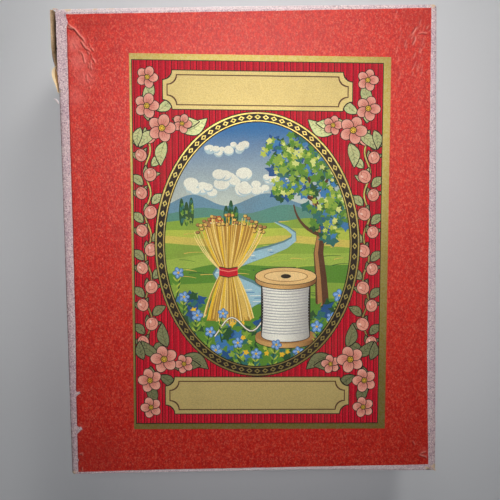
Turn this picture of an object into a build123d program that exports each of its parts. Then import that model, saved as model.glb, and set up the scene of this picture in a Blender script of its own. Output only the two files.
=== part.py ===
from build123d import *
from dataclasses import dataclass
from math import atan2, degrees, radians, sin
import os

# A flat card box for linen thread: a base tray and a deep lift-off lid, each
# made of straw board walls round a board panel, with gummed corner stays, a
# paper strip wrapped round the sides, a pasted cover sheet and paper linings.
# X runs across the label, Y up the label, Z up from the table.
# All sizes are in millimetres.

# Driving sizes
lid_width = 200.0
lid_depth = 250.0
base_rim_height = 52.0
lid_skirt = 32.0
lid_clearance = 0.6

# Board and paper thicknesses
lid_board = 2.0
base_board = 2.0
strip_paper = 0.2
cover_paper = 0.2
lining_paper = 0.2
stay_paper = 0.2
label_paper = 0.15

# Rounding of the boards' outer corners and of the long outer edges
corner_round = 1.4
edge_round = 1.2

# The side strip is turned over on the panel and turned in behind the rim
turn_over = 8.0
turn_in = 10.0
step_run = 0.6

# Margins of the side strip that the pasted red sheet leaves bare on the lid,
# each at its two ends
left_margin_front = 3.4
left_margin_back = 5.1
right_margin_front = 4.1
right_margin_back = 3.0
front_margin_left = 1.4
front_margin_right = 1.9
back_margin_left = 2.6
back_margin_right = 1.9
bottom_margin = 4.0

# The printed label on the lid
label_width = 137.9
label_height = 201.2
label_x = 5.0
label_y = -0.8
label_turn = -1.07

# The gummed paper stays round the upright corners
stay_leg = 12.0
stay_from_floor = 2.5
stay_from_rim = 3.0

# The lid's left wall has sprung outward at the back corner, by a double bend
sprung_length = 41.0
sprung_bend = 28.0
sprung_out = 2.5
sprung_tear = 4.0
torn_flange = 1.8


@dataclass
class Tray:
    """A board tray with its panel's outer face at z = 0 and its rim upward."""

    width: float
    depth: float
    height: float
    board: float
    sprung: bool

    @property
    def inner_width(self):
        return self.width - 2 * self.board

    @property
    def inner_depth(self):
        return self.depth - 2 * self.board

    @property
    def spring_start(self):
        """Where along Y the left wall leaves its straight line."""
        return self.depth / 2 - sprung_length


paper_inside = max(strip_paper, lining_paper)
lid = Tray(
    width=lid_width - 2 * strip_paper,
    depth=lid_depth - 2 * strip_paper,
    height=lid_skirt - 2 * strip_paper,
    board=lid_board,
    sprung=True,
)
base_inset = 2 * (paper_inside + lid_clearance + strip_paper)
base = Tray(
    width=lid.inner_width - base_inset,
    depth=lid.inner_depth - base_inset,
    height=base_rim_height - 2 * strip_paper - cover_paper,
    board=base_board,
    sprung=False,
)
base_panel_z = strip_paper + cover_paper
lid_panel_z = base_rim_height + lining_paper + lid_board


def block(size_x, size_y, z_from, z_to):
    """A box centred on the Z axis."""
    middle = (z_from + z_to) / 2
    return Pos(0, 0, middle) * Box(size_x, size_y, z_to - z_from)


def slab(x_from, x_to, y_from, y_to, z_from, z_to):
    """A box given by its limits."""
    middle = ((x_from + x_to) / 2, (y_from + y_to) / 2, (z_from + z_to) / 2)
    return Pos(*middle) * Box(x_to - x_from, y_to - y_from, z_to - z_from)


def envelope(tray, grow, top):
    """The tray's rounded outside, grown on its panel side and its four sides."""
    body = block(tray.width + 2 * grow, tray.depth + 2 * grow, -grow, top)
    body = fillet(body.edges().filter_by(Axis.Z), corner_round + grow)
    return fillet(body.edges().group_by(Axis.Z)[0], edge_round + grow)


def sprung_line(tray, inward):
    """Seen from above, the sprung wall's outer face, moved inward: a bend
    outward, a bend back and a straight run to the free end."""
    turn = 2 * degrees(atan2(sprung_out, sprung_bend))
    radius = sprung_bend / (2 * sin(radians(turn)))
    start_x = -tray.width / 2
    end_x = start_x - sprung_out
    bend_end = tray.spring_start + sprung_bend
    first_centre = (start_x - radius, tray.spring_start)
    second_centre = (end_x + radius, bend_end)
    return [
        CenterArc(first_centre, radius + inward, 0, turn),
        CenterArc(second_centre, radius - inward, 180 + turn, -turn),
        Line((end_x + inward, bend_end), (end_x + inward, tray.depth / 2)),
    ]


def sprung_layer(tray, inward, thickness, z_from, z_to):
    """A layer of the sprung wall, from inward of its outer face, thickness on."""
    near = sprung_line(tray, inward)
    far = sprung_line(tray, inward + thickness)
    ends = [Line(near[0] @ 0, far[0] @ 0), Line(near[-1] @ 1, far[-1] @ 1)]
    face = make_face([*near, *far, *ends])
    return Pos(0, 0, z_from) * extrude(face, z_to - z_from, dir=(0, 0, 1))


def beyond_spring(tray, z_from, z_to):
    """The room of the left wall's straight end, which the sprung end leaves."""
    outside = tray.width / 2 + strip_paper + corner_round
    inside = tray.inner_width / 2
    back = tray.depth / 2 + strip_paper + corner_round
    return slab(-outside, -inside, tray.spring_start, back, z_from, z_to)


def corner_stays(tray):
    """Paper angles pressed flush into the walls' outer corners. At a sprung
    corner the angle is torn in two."""
    low = stay_from_floor
    high = tray.height - stay_from_rim
    skin = envelope(tray, 0, tray.height) - envelope(tray, -stay_paper, tray.height)
    stays = []
    for side_x in (-1, 1):
        for side_y in (-1, 1):
            centre = Pos(side_x * tray.width / 2, side_y * tray.depth / 2, 0)
            corner = skin & (centre * block(2 * stay_leg, 2 * stay_leg, low, high))
            if tray.sprung and side_x < 0 < side_y:
                corner -= beyond_spring(tray, low, high)
                stays.append(torn_stay(tray, low, high))
            stays.append(corner)
    return stays


def torn_stay(tray, low, high):
    """The half of a torn corner stay that went with the sprung wall."""
    layer = sprung_layer(tray, 0, stay_paper, low, high)
    leg = Pos(0, tray.depth / 2, 0) * block(2 * tray.width, 2 * stay_leg, low, high)
    return layer & leg


def wall_boards(tray, stays):
    """The four wall boards: left and right run the full depth, front and back
    stand between them."""
    hollow = block(tray.inner_width, tray.inner_depth, -1, tray.height + 1)
    ring = envelope(tray, 0, tray.height) - hollow
    between = block(tray.inner_width, tray.depth, 0, tray.height)
    ends = ring & between
    sides = ring - between
    walls = {
        "front_wall": ends.solids().sort_by(Axis.Y)[0],
        "back_wall": ends.solids().sort_by(Axis.Y)[-1],
        "left_wall": sides.solids().sort_by(Axis.X)[0],
        "right_wall": sides.solids().sort_by(Axis.X)[-1],
    }
    if tray.sprung:
        straight = walls["left_wall"] - beyond_spring(tray, -1, tray.height + 1)
        free_end = sprung_layer(tray, 0, tray.board, 0, tray.height)
        walls["left_wall"] = straight + free_end
    for name in walls:
        for stay in stays:
            walls[name] -= stay
    return walls


def panel_board(tray):
    """The flat board that the four walls stand round."""
    return block(tray.inner_width, tray.inner_depth, 0, tray.board)


def flange_opening(tray):
    """Width and depth of the panel left free by the strip's turned-over edge."""
    free = 2 * (turn_over - strip_paper)
    return tray.width - free, tray.depth - free


def side_strip(tray):
    """The paper round the sides, turned over on the panel and in at the rim."""
    rim = tray.height + strip_paper
    strip = envelope(tray, strip_paper, rim) - envelope(tray, 0, tray.height)
    strip -= block(*flange_opening(tray), -1, 1)
    mouth = (tray.inner_width - 2 * strip_paper, tray.inner_depth - 2 * strip_paper)
    strip -= block(*mouth, tray.height - 1, rim + 1)
    tucked = block(
        tray.inner_width, tray.inner_depth, tray.height - turn_in, tray.height
    )
    strip += tucked - block(*mouth, 0, rim)
    if tray.sprung:
        strip -= beyond_spring(tray, 0, rim)
        strip -= beyond_spring(tray, -strip_paper, 0)
        strip += torn_edge(tray)
        strip += sprung_strip(tray, rim)
    return strip


def torn_edge(tray):
    """What is left of the turned-over edge above the sprung wall."""
    back = tray.depth / 2 - edge_round
    edge = -tray.width / 2 + edge_round - torn_flange
    inside = -tray.inner_width / 2
    return slab(edge, inside, tray.spring_start, back, -strip_paper, 0)


def sprung_strip(tray, rim):
    """The strip on the sprung wall: outer skin, rim and tucked-in edge."""
    through = tray.board + 2 * strip_paper
    skin = sprung_layer(tray, -strip_paper, strip_paper, sprung_tear, rim)
    hem = sprung_layer(tray, -strip_paper, through, tray.height, rim)
    low = tray.height - turn_in
    tucked = sprung_layer(tray, tray.board, strip_paper, low, tray.height)
    return skin + hem + tucked


def pasted_sheet(tray, corners):
    """A cover sheet pasted over the strip's turned-over edge, stepping down to
    the panel inside it."""
    outline = make_face(Polyline(*corners, close=True))
    sheet = Pos(0, 0, -strip_paper - cover_paper) * extrude(
        outline, cover_paper, dir=(0, 0, 1)
    )
    open_x, open_y = flange_opening(tray)
    wide = Rectangle(open_x, open_y)
    narrow = Rectangle(open_x - 2 * step_run, open_y - 2 * step_run)
    sunk = loft([Pos(0, 0, -strip_paper) * wide, narrow])
    recess = loft(
        [
            Pos(0, 0, -strip_paper - cover_paper) * wide,
            Pos(0, 0, -cover_paper) * narrow,
        ]
    )
    return sheet + sunk - recess


def lid_sheet_corners():
    """The red sheet's four corners, from the margins measured on the lid."""
    x, y = lid_width / 2, lid_depth / 2
    return [
        (-x + left_margin_front, -y + front_margin_left),
        (x - right_margin_front, -y + front_margin_right),
        (x - right_margin_back, y - back_margin_right),
        (-x + left_margin_back, y - back_margin_left),
    ]


def bottom_sheet_corners():
    """The bottom sheet's corners, at one margin from the strip's outside."""
    x = base.width / 2 + strip_paper - bottom_margin
    y = base.depth / 2 + strip_paper - bottom_margin
    return [(-x, -y), (x, -y), (x, y), (-x, y)]


def label():
    """The printed label, pasted a little askew on the red sheet."""
    paper = block(label_width, label_height, -cover_paper - label_paper, -cover_paper)
    return Pos(label_x, label_y, 0) * Rot(0, 0, label_turn) * paper


def panel_lining(tray):
    """The lining sheet on the panel's inner face, between the wall linings."""
    size_x = tray.inner_width - 2 * lining_paper
    size_y = tray.inner_depth - 2 * lining_paper
    return block(size_x, size_y, tray.board, tray.board + lining_paper)


def wall_linings(tray):
    """The lining strips on the walls, down to the tucked-in edge of the strip."""
    low, high = tray.board, tray.height - turn_in
    x, y = tray.inner_width / 2, tray.inner_depth / 2
    inner_x, inner_y = x - lining_paper, y - lining_paper
    left_end = tray.spring_start if tray.sprung else y
    left = slab(-x, -inner_x, -y, left_end, low, high)
    if tray.sprung:
        left += sprung_layer(tray, tray.board, lining_paper, low, high)
    return {
        "front_lining": slab(-inner_x, inner_x, -y, -inner_y, low, high),
        "back_lining": slab(-inner_x, inner_x, inner_y, y, low, high),
        "left_lining": left,
        "right_lining": slab(inner_x, x, -y, y, low, high),
    }


def tray_parts(tray):
    """Every board and paper of a tray, by name."""
    stays = corner_stays(tray)
    return {
        **wall_boards(tray, stays),
        "corner_stays": Compound(stays),
        "side_strip": side_strip(tray),
        **wall_linings(tray),
    }


def upright(shape):
    """Places a tray's piece in the base, panel down on the table."""
    return Pos(0, 0, base_panel_z) * shape


def upside_down(shape):
    """Places a tray's piece in the lid, panel up and rim down."""
    return Pos(0, 0, lid_panel_z) * mirror(shape, about=Plane.XY)


def base_nodes():
    parts = tray_parts(base)
    parts["floor_board"] = panel_board(base)
    parts["floor_lining"] = panel_lining(base)
    parts["bottom_sheet"] = pasted_sheet(base, bottom_sheet_corners())
    return {"base_" + name: upright(part) for name, part in parts.items()}


def lid_nodes():
    parts = tray_parts(lid)
    parts["top_board"] = panel_board(lid)
    parts["ceiling_lining"] = panel_lining(lid)
    parts["top_sheet"] = pasted_sheet(lid, lid_sheet_corners())
    parts["label"] = label()
    return {"lid_" + name: upside_down(part) for name, part in parts.items()}


os.makedirs("parts", exist_ok=True)
for node, shape in {**base_nodes(), **lid_nodes()}.items():
    export_step(shape, "parts/" + node + ".step")
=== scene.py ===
from math import atan2, cos, hypot, pi, radians, sin, tau
import random

import bmesh
import bpy
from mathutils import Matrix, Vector
from mathutils.geometry import delaunay_2d_cdt
import numpy as np


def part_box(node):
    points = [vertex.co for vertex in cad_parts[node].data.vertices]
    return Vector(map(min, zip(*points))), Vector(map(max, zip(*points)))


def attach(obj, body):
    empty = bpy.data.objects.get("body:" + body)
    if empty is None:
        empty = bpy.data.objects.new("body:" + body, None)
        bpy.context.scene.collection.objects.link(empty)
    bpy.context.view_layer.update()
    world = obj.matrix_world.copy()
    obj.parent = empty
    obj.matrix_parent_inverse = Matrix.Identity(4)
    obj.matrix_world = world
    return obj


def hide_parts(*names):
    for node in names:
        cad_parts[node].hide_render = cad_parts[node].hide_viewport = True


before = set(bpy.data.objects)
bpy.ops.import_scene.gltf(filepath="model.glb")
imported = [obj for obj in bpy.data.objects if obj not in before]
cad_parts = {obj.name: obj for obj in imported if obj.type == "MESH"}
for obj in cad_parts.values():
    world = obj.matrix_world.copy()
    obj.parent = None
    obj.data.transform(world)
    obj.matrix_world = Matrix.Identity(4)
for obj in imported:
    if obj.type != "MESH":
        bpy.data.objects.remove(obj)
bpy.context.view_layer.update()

# The linen thread box: a card box with a lift-off lid, bound in speckled paper,
# with a red felted sheet and a printed label on the lid.
# Meshes are worked out in millimetres and written in metres. X runs across the
# label, Y up the label, Z up from the table.

MM = 0.001


def box_mm(node):
    """A node's lowest and highest corners in millimetres."""
    low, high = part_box(node)
    return np.array(low) / MM, np.array(high) / MM


# Sizes read from the frame
LID_LOW, LID_HIGH = box_mm("lid_side_strip")
PANEL_LOW, PANEL_HIGH = box_mm("lid_top_board")
SHEET_HIGH = box_mm("lid_top_sheet")[1]
LABEL_LOW, LABEL_HIGH = box_mm("lid_label")
BASE_LOW, BASE_HIGH = box_mm("base_side_strip")
WALL_LOW = box_mm("lid_left_wall")[0]
HALF_X, HALF_Y = LID_HIGH[0], -LID_LOW[1]
FLANGE_TOP = LID_HIGH[2]
RIM = LID_LOW[2]
PAPER = FLANGE_TOP - PANEL_HIGH[2]
BOARD = PANEL_HIGH[2] - PANEL_LOW[2]
# The wall's solid stands out less than the real wall, by this much
SPRUNG_MORE = 1.3
SPRUNG_OUT = -WALL_LOW[0] - (HALF_X - PAPER) + SPRUNG_MORE

# Sizes that the frame doesn't give
EDGE_ROUND = 0.8
CORNER_ROUND = 1.5
TURN_OVER = 8.0
TURN_IN = 10.0
# Half sizes of the panel that the turned-over edge leaves open
OPEN_X, OPEN_Y = HALF_X - TURN_OVER - PAPER, HALF_Y - TURN_OVER
SPRUNG_LENGTH = 41.0
SPRUNG_BEND = 24.0
TORN_EDGE_X = -100.4
LABEL_SIZE = (137.9, 201.2)
# The label's corners on the lid: front left, front right, back right and back left
LABEL_CORNERS = [(-65.3, -100.3), (72.0, -102.5), (75.9, 97.9), (-62.6, 101.8)]

# The red sheet's edges on the lid: (Y, X) up its left and right, (X, Y) along its
# front and back
SHEET_LEFT = [(-121.4, -96.6), (-83.5, -96.4), (-50.5, -95.6), (0, -95.2), (121.3, -94.9)]
SHEET_RIGHT = [(-121, 96.0), (-104, 95.7), (-59, 95.3), (-26, 95.8), (27, 96.2), (75, 96.6), (122, 97.1)]
SHEET_FRONT = [(-94.5, -123.7), (-55, -123.2), (96, -123.15)]
SHEET_BACK = [(-92, 122.3), (7, 122.6), (70, 123.0), (95, 123.2)]


# Noise and mesh helpers

def lumps(x, y, size, seed, octaves=1):
    """Smooth noise from -1 to 1 over the plane, in lumps about size across."""
    table = np.random.RandomState(seed).rand(256, 256)
    x, y = np.broadcast_arrays(np.asarray(x, float), np.asarray(y, float))
    total, weight, weights = np.zeros(x.shape), 1.0, 0.0
    for _ in range(octaves):
        u, v = x / size + 128.5, y / size + 128.5
        i, j = np.floor(u).astype(int), np.floor(v).astype(int)
        f, g = u - i, v - j
        f, g = f * f * (3 - 2 * f), g * g * (3 - 2 * g)
        i, j, after_i, after_j = i % 256, j % 256, (i + 1) % 256, (j + 1) % 256
        low = table[i, j] * (1 - f) + table[after_i, j] * f
        high = table[i, after_j] * (1 - f) + table[after_i, after_j] * f
        total += weight * (low * (1 - g) + high * g)
        weights += weight
        weight, size = weight / 2, size / 2
    return 2 * total / weights - 1


def ramp(value, low, high):
    """0 below low, 1 above high and a smooth rise between."""
    t = np.clip((value - low) / (high - low), 0, 1)
    return t * t * (3 - 2 * t)


def spaced(stops, steps):
    """Positions through stops, with about steps[i] between them in stretch i."""
    runs = []
    for start, end, step in zip(stops, stops[1:], steps):
        count = max(1, round(abs(end - start) / step))
        runs.append(np.linspace(start, end, count, endpoint=False))
    return np.concatenate([*runs, stops[-1:]])


def shell(outer, inner, closed=False):
    """Points and faces of a thin closed skin between two grids of points."""
    rows, cols = outer.shape[:2]
    points = np.concatenate([outer.reshape(-1, 3), inner.reshape(-1, 3)])

    def at(side, i, j):
        return side * rows * cols + (i % rows) * cols + j

    faces = []
    for i in range(rows if closed else rows - 1):
        for j in range(cols - 1):
            faces.append((at(0, i, j), at(0, i + 1, j), at(0, i + 1, j + 1), at(0, i, j + 1)))
            faces.append((at(1, i, j + 1), at(1, i + 1, j + 1), at(1, i + 1, j), at(1, i, j)))
        for j in (0, cols - 1):
            faces.append((at(0, i, j), at(0, i + 1, j), at(1, i + 1, j), at(1, i, j)))
    if not closed:
        for i in (0, rows - 1):
            for j in range(cols - 1):
                faces.append((at(0, i, j), at(0, i, j + 1), at(1, i, j + 1), at(1, i, j)))
    return points, faces


def tube(rings):
    """Faces between closed rings of points, one ring after another, and both ends."""
    rows, count = rings.shape[:2]
    faces = []
    for i in range(rows - 1):
        for j in range(count):
            k = (j + 1) % count
            faces.append((i * count + j, i * count + k, (i + 1) * count + k, (i + 1) * count + j))
    last = (rows - 1) * count
    return faces + [tuple(range(count)), tuple(range(last, last + count))]


def both_sides(values):
    """One value for each point of a skin's outer and inner grid."""
    return np.tile(values.ravel(), 2)


def dying(distance, reach):
    """1 up to a distance of 0, and then a fall that is quicker for a short reach."""
    return np.exp(-np.maximum(distance, 0) / reach)


def rounding(past, radius, least=0.0):
    """How far a rounded edge has fallen, at a distance past where it starts to."""
    return radius - np.sqrt(np.maximum(radius ** 2 - np.maximum(past, 0) ** 2, least))


def walked(path):
    """How far along a path each of its points is, as a column."""
    return np.concatenate([[0], np.cumsum(np.hypot(*np.diff(path, axis=0).T))])[:, None]


def drop_inner_faces(work):
    """Two parts of a skin that meet each have an end face there: both go."""
    seen = {}
    for face in work.faces:
        seen.setdefault(frozenset(v.index for v in face.verts), []).append(face)
    inner = [face for faces in seen.values() if len(faces) > 1 for face in faces]
    bmesh.ops.delete(work, geom=inner, context="FACES")


def make_piece(name, points, faces, material, body, fields, angle=35):
    """A piece from millimetre points, merged where they meet and shaded smooth
    up to an angle. fields are named values, one per point."""
    mesh = bpy.data.meshes.new(name)
    mesh.from_pydata((np.asarray(points, float) * MM).tolist(), [], faces)
    for field, values in fields.items():
        layer = mesh.attributes.new(field, "FLOAT", "POINT")
        layer.data.foreach_set("value", np.asarray(values, np.float32).ravel())
    work = bmesh.new()
    work.from_mesh(mesh)
    bmesh.ops.remove_doubles(work, verts=work.verts, dist=2e-6)
    bmesh.ops.dissolve_degenerate(work, edges=work.edges, dist=1e-6)
    work.verts.index_update()
    drop_inner_faces(work)
    bmesh.ops.recalc_face_normals(work, faces=work.faces)
    work.to_mesh(mesh)
    work.free()
    mesh.shade_smooth()
    mesh.set_sharp_from_angle(angle=radians(angle))
    mesh.materials.append(material)
    piece = bpy.data.objects.new(name, mesh)
    bpy.context.collection.objects.link(piece)
    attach(piece, body)
    return piece


# Materials

class Finish:
    """A material's node tree, with short calls for adding nodes."""

    def __init__(self, name):
        self.material = bpy.data.materials.new(name)
        self.material.use_nodes = True
        self.tree = self.material.node_tree
        self.shader = self.tree.nodes["Principled BSDF"]
        self.place = self.add("ShaderNodeTexCoord").outputs["Object"]

    def add(self, kind, inputs=None, **settings):
        node = self.tree.nodes.new(kind)
        for key, value in settings.items():
            setattr(node, key, value)
        for key, value in (inputs or {}).items():
            self.feed(node.inputs[key], value)
        return node

    def feed(self, socket, value):
        if isinstance(value, bpy.types.NodeSocket):
            self.tree.links.new(value, socket)
        else:
            socket.default_value = value

    def noise(self, size, seed, detail=2.0, rough=0.5, place=None):
        """Noise from 0 to 1 in lumps about size millimetres across."""
        inputs = {
            "Vector": place or self.place,
            "W": seed,
            "Scale": 1 / (size * MM),
            "Detail": detail,
            "Roughness": rough,
        }
        return self.add("ShaderNodeTexNoise", inputs, noise_dimensions="4D").outputs["Fac"]

    def stretched(self, x, y, z):
        """The place, squeezed so that noise comes out long where a factor is small."""
        inputs = {"Vector": self.place, "Scale": (x, y, z)}
        return self.add("ShaderNodeMapping", inputs).outputs["Vector"]

    def steps(self, value, low, high, start=0.0, end=1.0):
        """start below low, end above high, and a smooth change between."""
        inputs = {"Value": value, "From Min": low, "From Max": high, "To Min": start, "To Max": end}
        node = self.add("ShaderNodeMapRange", inputs, interpolation_type="SMOOTHSTEP")
        return node.outputs["Result"]

    def fibres(self, size, seed, thin=0.02):
        """Short curly lines: a noise's middle contour, broken up by another noise."""
        contour = self.noise(size, seed, 1.0)
        off = self.math("ABSOLUTE", self.math("SUBTRACT", contour, 0.5))
        line = self.steps(off, 0.0, thin, 1.0, 0.0)
        return self.times(line, self.steps(self.noise(size * 1.3, seed + 7), 0.5, 0.62))

    def math(self, what, first, second=0.0):
        node = self.add("ShaderNodeMath", operation=what)
        self.feed(node.inputs[0], first)
        self.feed(node.inputs[1], second)
        return node.outputs[0]

    def times(self, first, second):
        return self.math("MULTIPLY", first, second)

    def plus(self, first, second):
        return self.math("ADD", first, second)

    def mix(self, amount, first, second, how="MIX"):
        node = self.add("ShaderNodeMix", data_type="RGBA", blend_type=how)
        for index, value in ((0, amount), (6, first), (7, second)):
            if isinstance(value, tuple) and len(value) == 3:
                value = (*value, 1.0)
            self.feed(node.inputs[index], value)
        return node.outputs[2]

    def field(self, name):
        """A value that the mesh carries at its points."""
        return self.add("ShaderNodeAttribute", attribute_name=name).outputs["Fac"]

    def relief(self, height, depth):
        """Bump of a depth in millimetres."""
        inputs = {"Height": height, "Distance": depth * MM, "Strength": 1.0}
        return self.add("ShaderNodeBump", inputs).outputs["Normal"]

    def done(self, colour, roughness, normal, **even):
        self.feed(self.shader.inputs["Base Color"], colour)
        self.feed(self.shader.inputs["Roughness"], roughness)
        self.feed(self.shader.inputs["Normal"], normal)
        for name, value in even.items():
            self.shader.inputs[name.replace("_", " ")].default_value = value
        return self.material


def red_felt_paper():
    """Deep red paper with soft upright mottles and short fibres, faded and rubbed in
    places and creased at the corners. Along each crease it carries a painted highlight
    and a painted shade line, near the back left corner a painted highlight, and at the
    front corners painted shade."""
    f = Finish("red_felt_paper")
    upright = f.stretched(1.0, 0.6, 1.0)
    grain = f.noise(0.95, 1, 2.0, 0.6, upright)
    fine = f.noise(0.75, 2, 2.0, 0.6, f.stretched(1.0, 0.8, 1.0))
    smears = f.noise(6, 3, 2.0, place=f.stretched(1.0, 0.3, 1.0))
    hairs = f.math("MAXIMUM", f.fibres(2.0, 4), f.fibres(1.5, 5))
    red = f.mix(f.steps(grain, 0.34, 0.66), (0.48, 0.001, 0.0003), (0.67, 0.022, 0.006))
    red = f.mix(f.steps(fine, 0.47, 0.72, 0.0, 0.6), red, (0.78, 0.165, 0.10))
    red = f.mix(f.times(hairs, 0.35), red, (0.86, 0.20, 0.15))
    specks = f.steps(f.noise(0.8, 6, 1.0), 0.60, 0.70)
    red = f.mix(f.times(specks, 0.6), red, (0.28, 0.003, 0.001))
    red = f.mix(f.steps(smears, 0.5, 0.75, 0.0, 0.25), red, (0.36, 0.010, 0.004))
    # Darker red in patches, and painted shade at the front corners and sides
    darker_red_and_shade = f.times(f.field("darker_red_and_shade"), f.steps(fine, 0.2, 0.8, 0.7, 1.0))
    red = f.mix(darker_red_and_shade, red, (0.38, 0.012, 0.005))
    # Paler red in patches, and a painted highlight near the back left corner
    fade_and_highlight = f.times(f.field("fade_and_highlight"), f.steps(grain, 0.2, 0.75, 0.5, 1.0))
    red = f.mix(fade_and_highlight, red, (0.78, 0.17, 0.14))
    # Painted shade: a dark line beside each crease's crest and along the sheet's left edge
    red = f.mix(f.times(f.field("fold"), 0.85), red, (0.10, 0.004, 0.003))
    # Painted highlight along each crease's crest on its lit side, partly rubbing
    red = f.mix(f.times(f.field("rub_and_highlight"), 0.75), red, (0.86, 0.34, 0.27))
    worn = f.plus(f.field("wear"), f.times(f.math("SUBTRACT", fine, 0.5), 0.7))
    red = f.mix(f.steps(worn, 0.45, 0.75), red, (0.80, 0.42, 0.33))
    height = f.plus(grain, f.times(fine, 0.6))
    height = f.plus(height, f.times(hairs, 0.3))
    rough = f.steps(grain, 0.3, 0.7, 0.42, 0.52)
    return f.done(red, rough, f.relief(height, 0.13), Specular_IOR_Level=0.38)


def granite_paper():
    """Lilac-grey binding paper with purple and cream specks, rubbed bare in places, with a painted
    highlight along some edges and darkened by dirt and painted shadow.
    """
    f = Finish("granite_paper")
    purple = f.steps(f.noise(0.6, 11, 1.0, 0.6), 0.52, 0.64)
    cream = f.steps(f.noise(0.7, 12, 1.0, 0.6), 0.48, 0.62)
    cloud = f.noise(9, 13, 2.0)
    paper = f.mix(f.steps(cloud, 0.3, 0.7), (0.61, 0.42, 0.475), (0.66, 0.475, 0.495))
    paper = f.mix(f.times(cream, 0.7), paper, (0.90, 0.76, 0.74))
    paper = f.mix(f.times(purple, 0.66), paper, (0.21, 0.115, 0.165))
    # Painted highlight on the lid's strip; on the loose fibre its own white
    paper = f.mix(f.field("pale"), paper, (0.93, 0.84, 0.85))
    ragged = f.times(f.math("SUBTRACT", f.noise(0.9, 14, 3.0, 0.65), 0.5), 1.3)
    worn = f.plus(f.field("wear"), ragged)
    bare = f.mix(f.noise(0.6, 15), (0.86, 0.68, 0.50), (0.66, 0.44, 0.27))
    paper = f.mix(f.steps(worn, 0.5, 0.7), paper, bare)
    # Dirt, and painted shadow in the torn holes, darken the strip
    grime_and_shade = f.times(f.field("grime_and_shade"), f.steps(f.noise(1.6, 16), 0.25, 0.6, 0.35, 1.0))
    paper = f.mix(grime_and_shade, paper, (0.055, 0.035, 0.035))
    height = f.plus(f.noise(0.5, 17), f.times(worn, -0.8))
    rough = f.steps(cloud, 0.3, 0.7, 0.55, 0.7)
    return f.done(paper, rough, f.relief(height, 0.05), Specular_IOR_Level=0.35)


def straw_board():
    """Yellowish brown board pressed from straw, in plies, with chips and fibres, darkened by painted
    shade in its split, grooves and inner face.
    """
    f = Finish("straw_board")
    plies = f.noise(0.5, 21, 2.0, place=f.stretched(1.0, 0.06, 0.3))
    chips = f.noise(1.1, 22, 3.0, 0.6)
    board = f.mix(f.steps(chips, 0.3, 0.7), (0.40, 0.24, 0.12), (0.66, 0.46, 0.27))
    board = f.mix(f.steps(plies, 0.50, 0.66, 0.0, 0.7), board, (0.15, 0.075, 0.035))
    hairs = f.fibres(1.6, 23)
    board = f.mix(f.times(hairs, 0.7), board, (0.78, 0.64, 0.42))
    fresh = f.times(f.field("wear"), f.steps(plies, 0.4, 0.62, 1.0, 0.5))
    board = f.mix(fresh, board, (0.80, 0.59, 0.40))
    # Painted shade in the wall's split, grooves and inner face
    board = f.mix(f.field("grime_and_shade"), board, (0.018, 0.006, 0.003))
    height = f.plus(chips, f.times(plies, 1.2))
    rough = f.steps(chips, 0.3, 0.7, 0.75, 0.9)
    return f.done(board, rough, f.relief(height, 0.12), Specular_IOR_Level=0.12)


def gummed_paper():
    """Brown gummed paper, ribbed, over the corners of the boards."""
    f = Finish("gummed_paper")
    ribs = f.noise(0.5, 31, 1.0, place=f.stretched(0.1, 0.1, 1.0))
    cloud = f.noise(5, 32)
    paper = f.mix(f.steps(ribs, 0.35, 0.65), (0.34, 0.21, 0.10), (0.44, 0.29, 0.15))
    paper = f.mix(f.steps(cloud, 0.4, 0.8, 0.0, 0.5), paper, (0.27, 0.16, 0.08))
    return f.done(paper, f.steps(ribs, 0.3, 0.7, 0.45, 0.6), f.relief(ribs, 0.04))


def lining_paper():
    """Thin cream lining paper, yellowed and foxed."""
    f = Finish("lining_paper")
    cloud = f.noise(35, 41, 3.0)
    grain = f.noise(0.7, 42, 3.0)
    spots = f.steps(f.noise(5, 43, 3.0), 0.66, 0.76)
    paper = f.mix(f.steps(cloud, 0.3, 0.7), (0.74, 0.68, 0.55), (0.66, 0.58, 0.43))
    paper = f.mix(f.steps(grain, 0.3, 0.7, 0.0, 0.25), paper, (0.82, 0.77, 0.66))
    paper = f.mix(f.times(spots, 0.5), paper, (0.46, 0.30, 0.15))
    return f.done(paper, f.steps(grain, 0.3, 0.7, 0.6, 0.75), f.relief(grain, 0.04))


def torn_paper():
    """The inside of torn paper and board: ochre, darkened by painted shade in its hollow, with a cream
    torn rim.
    """
    f = Finish("torn_paper")
    grain = f.noise(0.7, 51, 3.0)
    inside = f.mix(f.steps(grain, 0.3, 0.7), (0.40, 0.20, 0.055), (0.56, 0.32, 0.11))
    # Painted shade in the curl's hollow
    inside = f.mix(f.field("grime_and_shade"), inside, (0.09, 0.04, 0.015))
    rim = f.plus(f.field("wear"), f.times(f.math("SUBTRACT", grain, 0.5), 0.5))
    paper = f.mix(f.steps(rim, 0.4, 0.6), inside, (0.98, 0.77, 0.47))
    return f.done(paper, f.steps(grain, 0.3, 0.7, 0.7, 0.85), f.relief(grain, 0.08))


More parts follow.
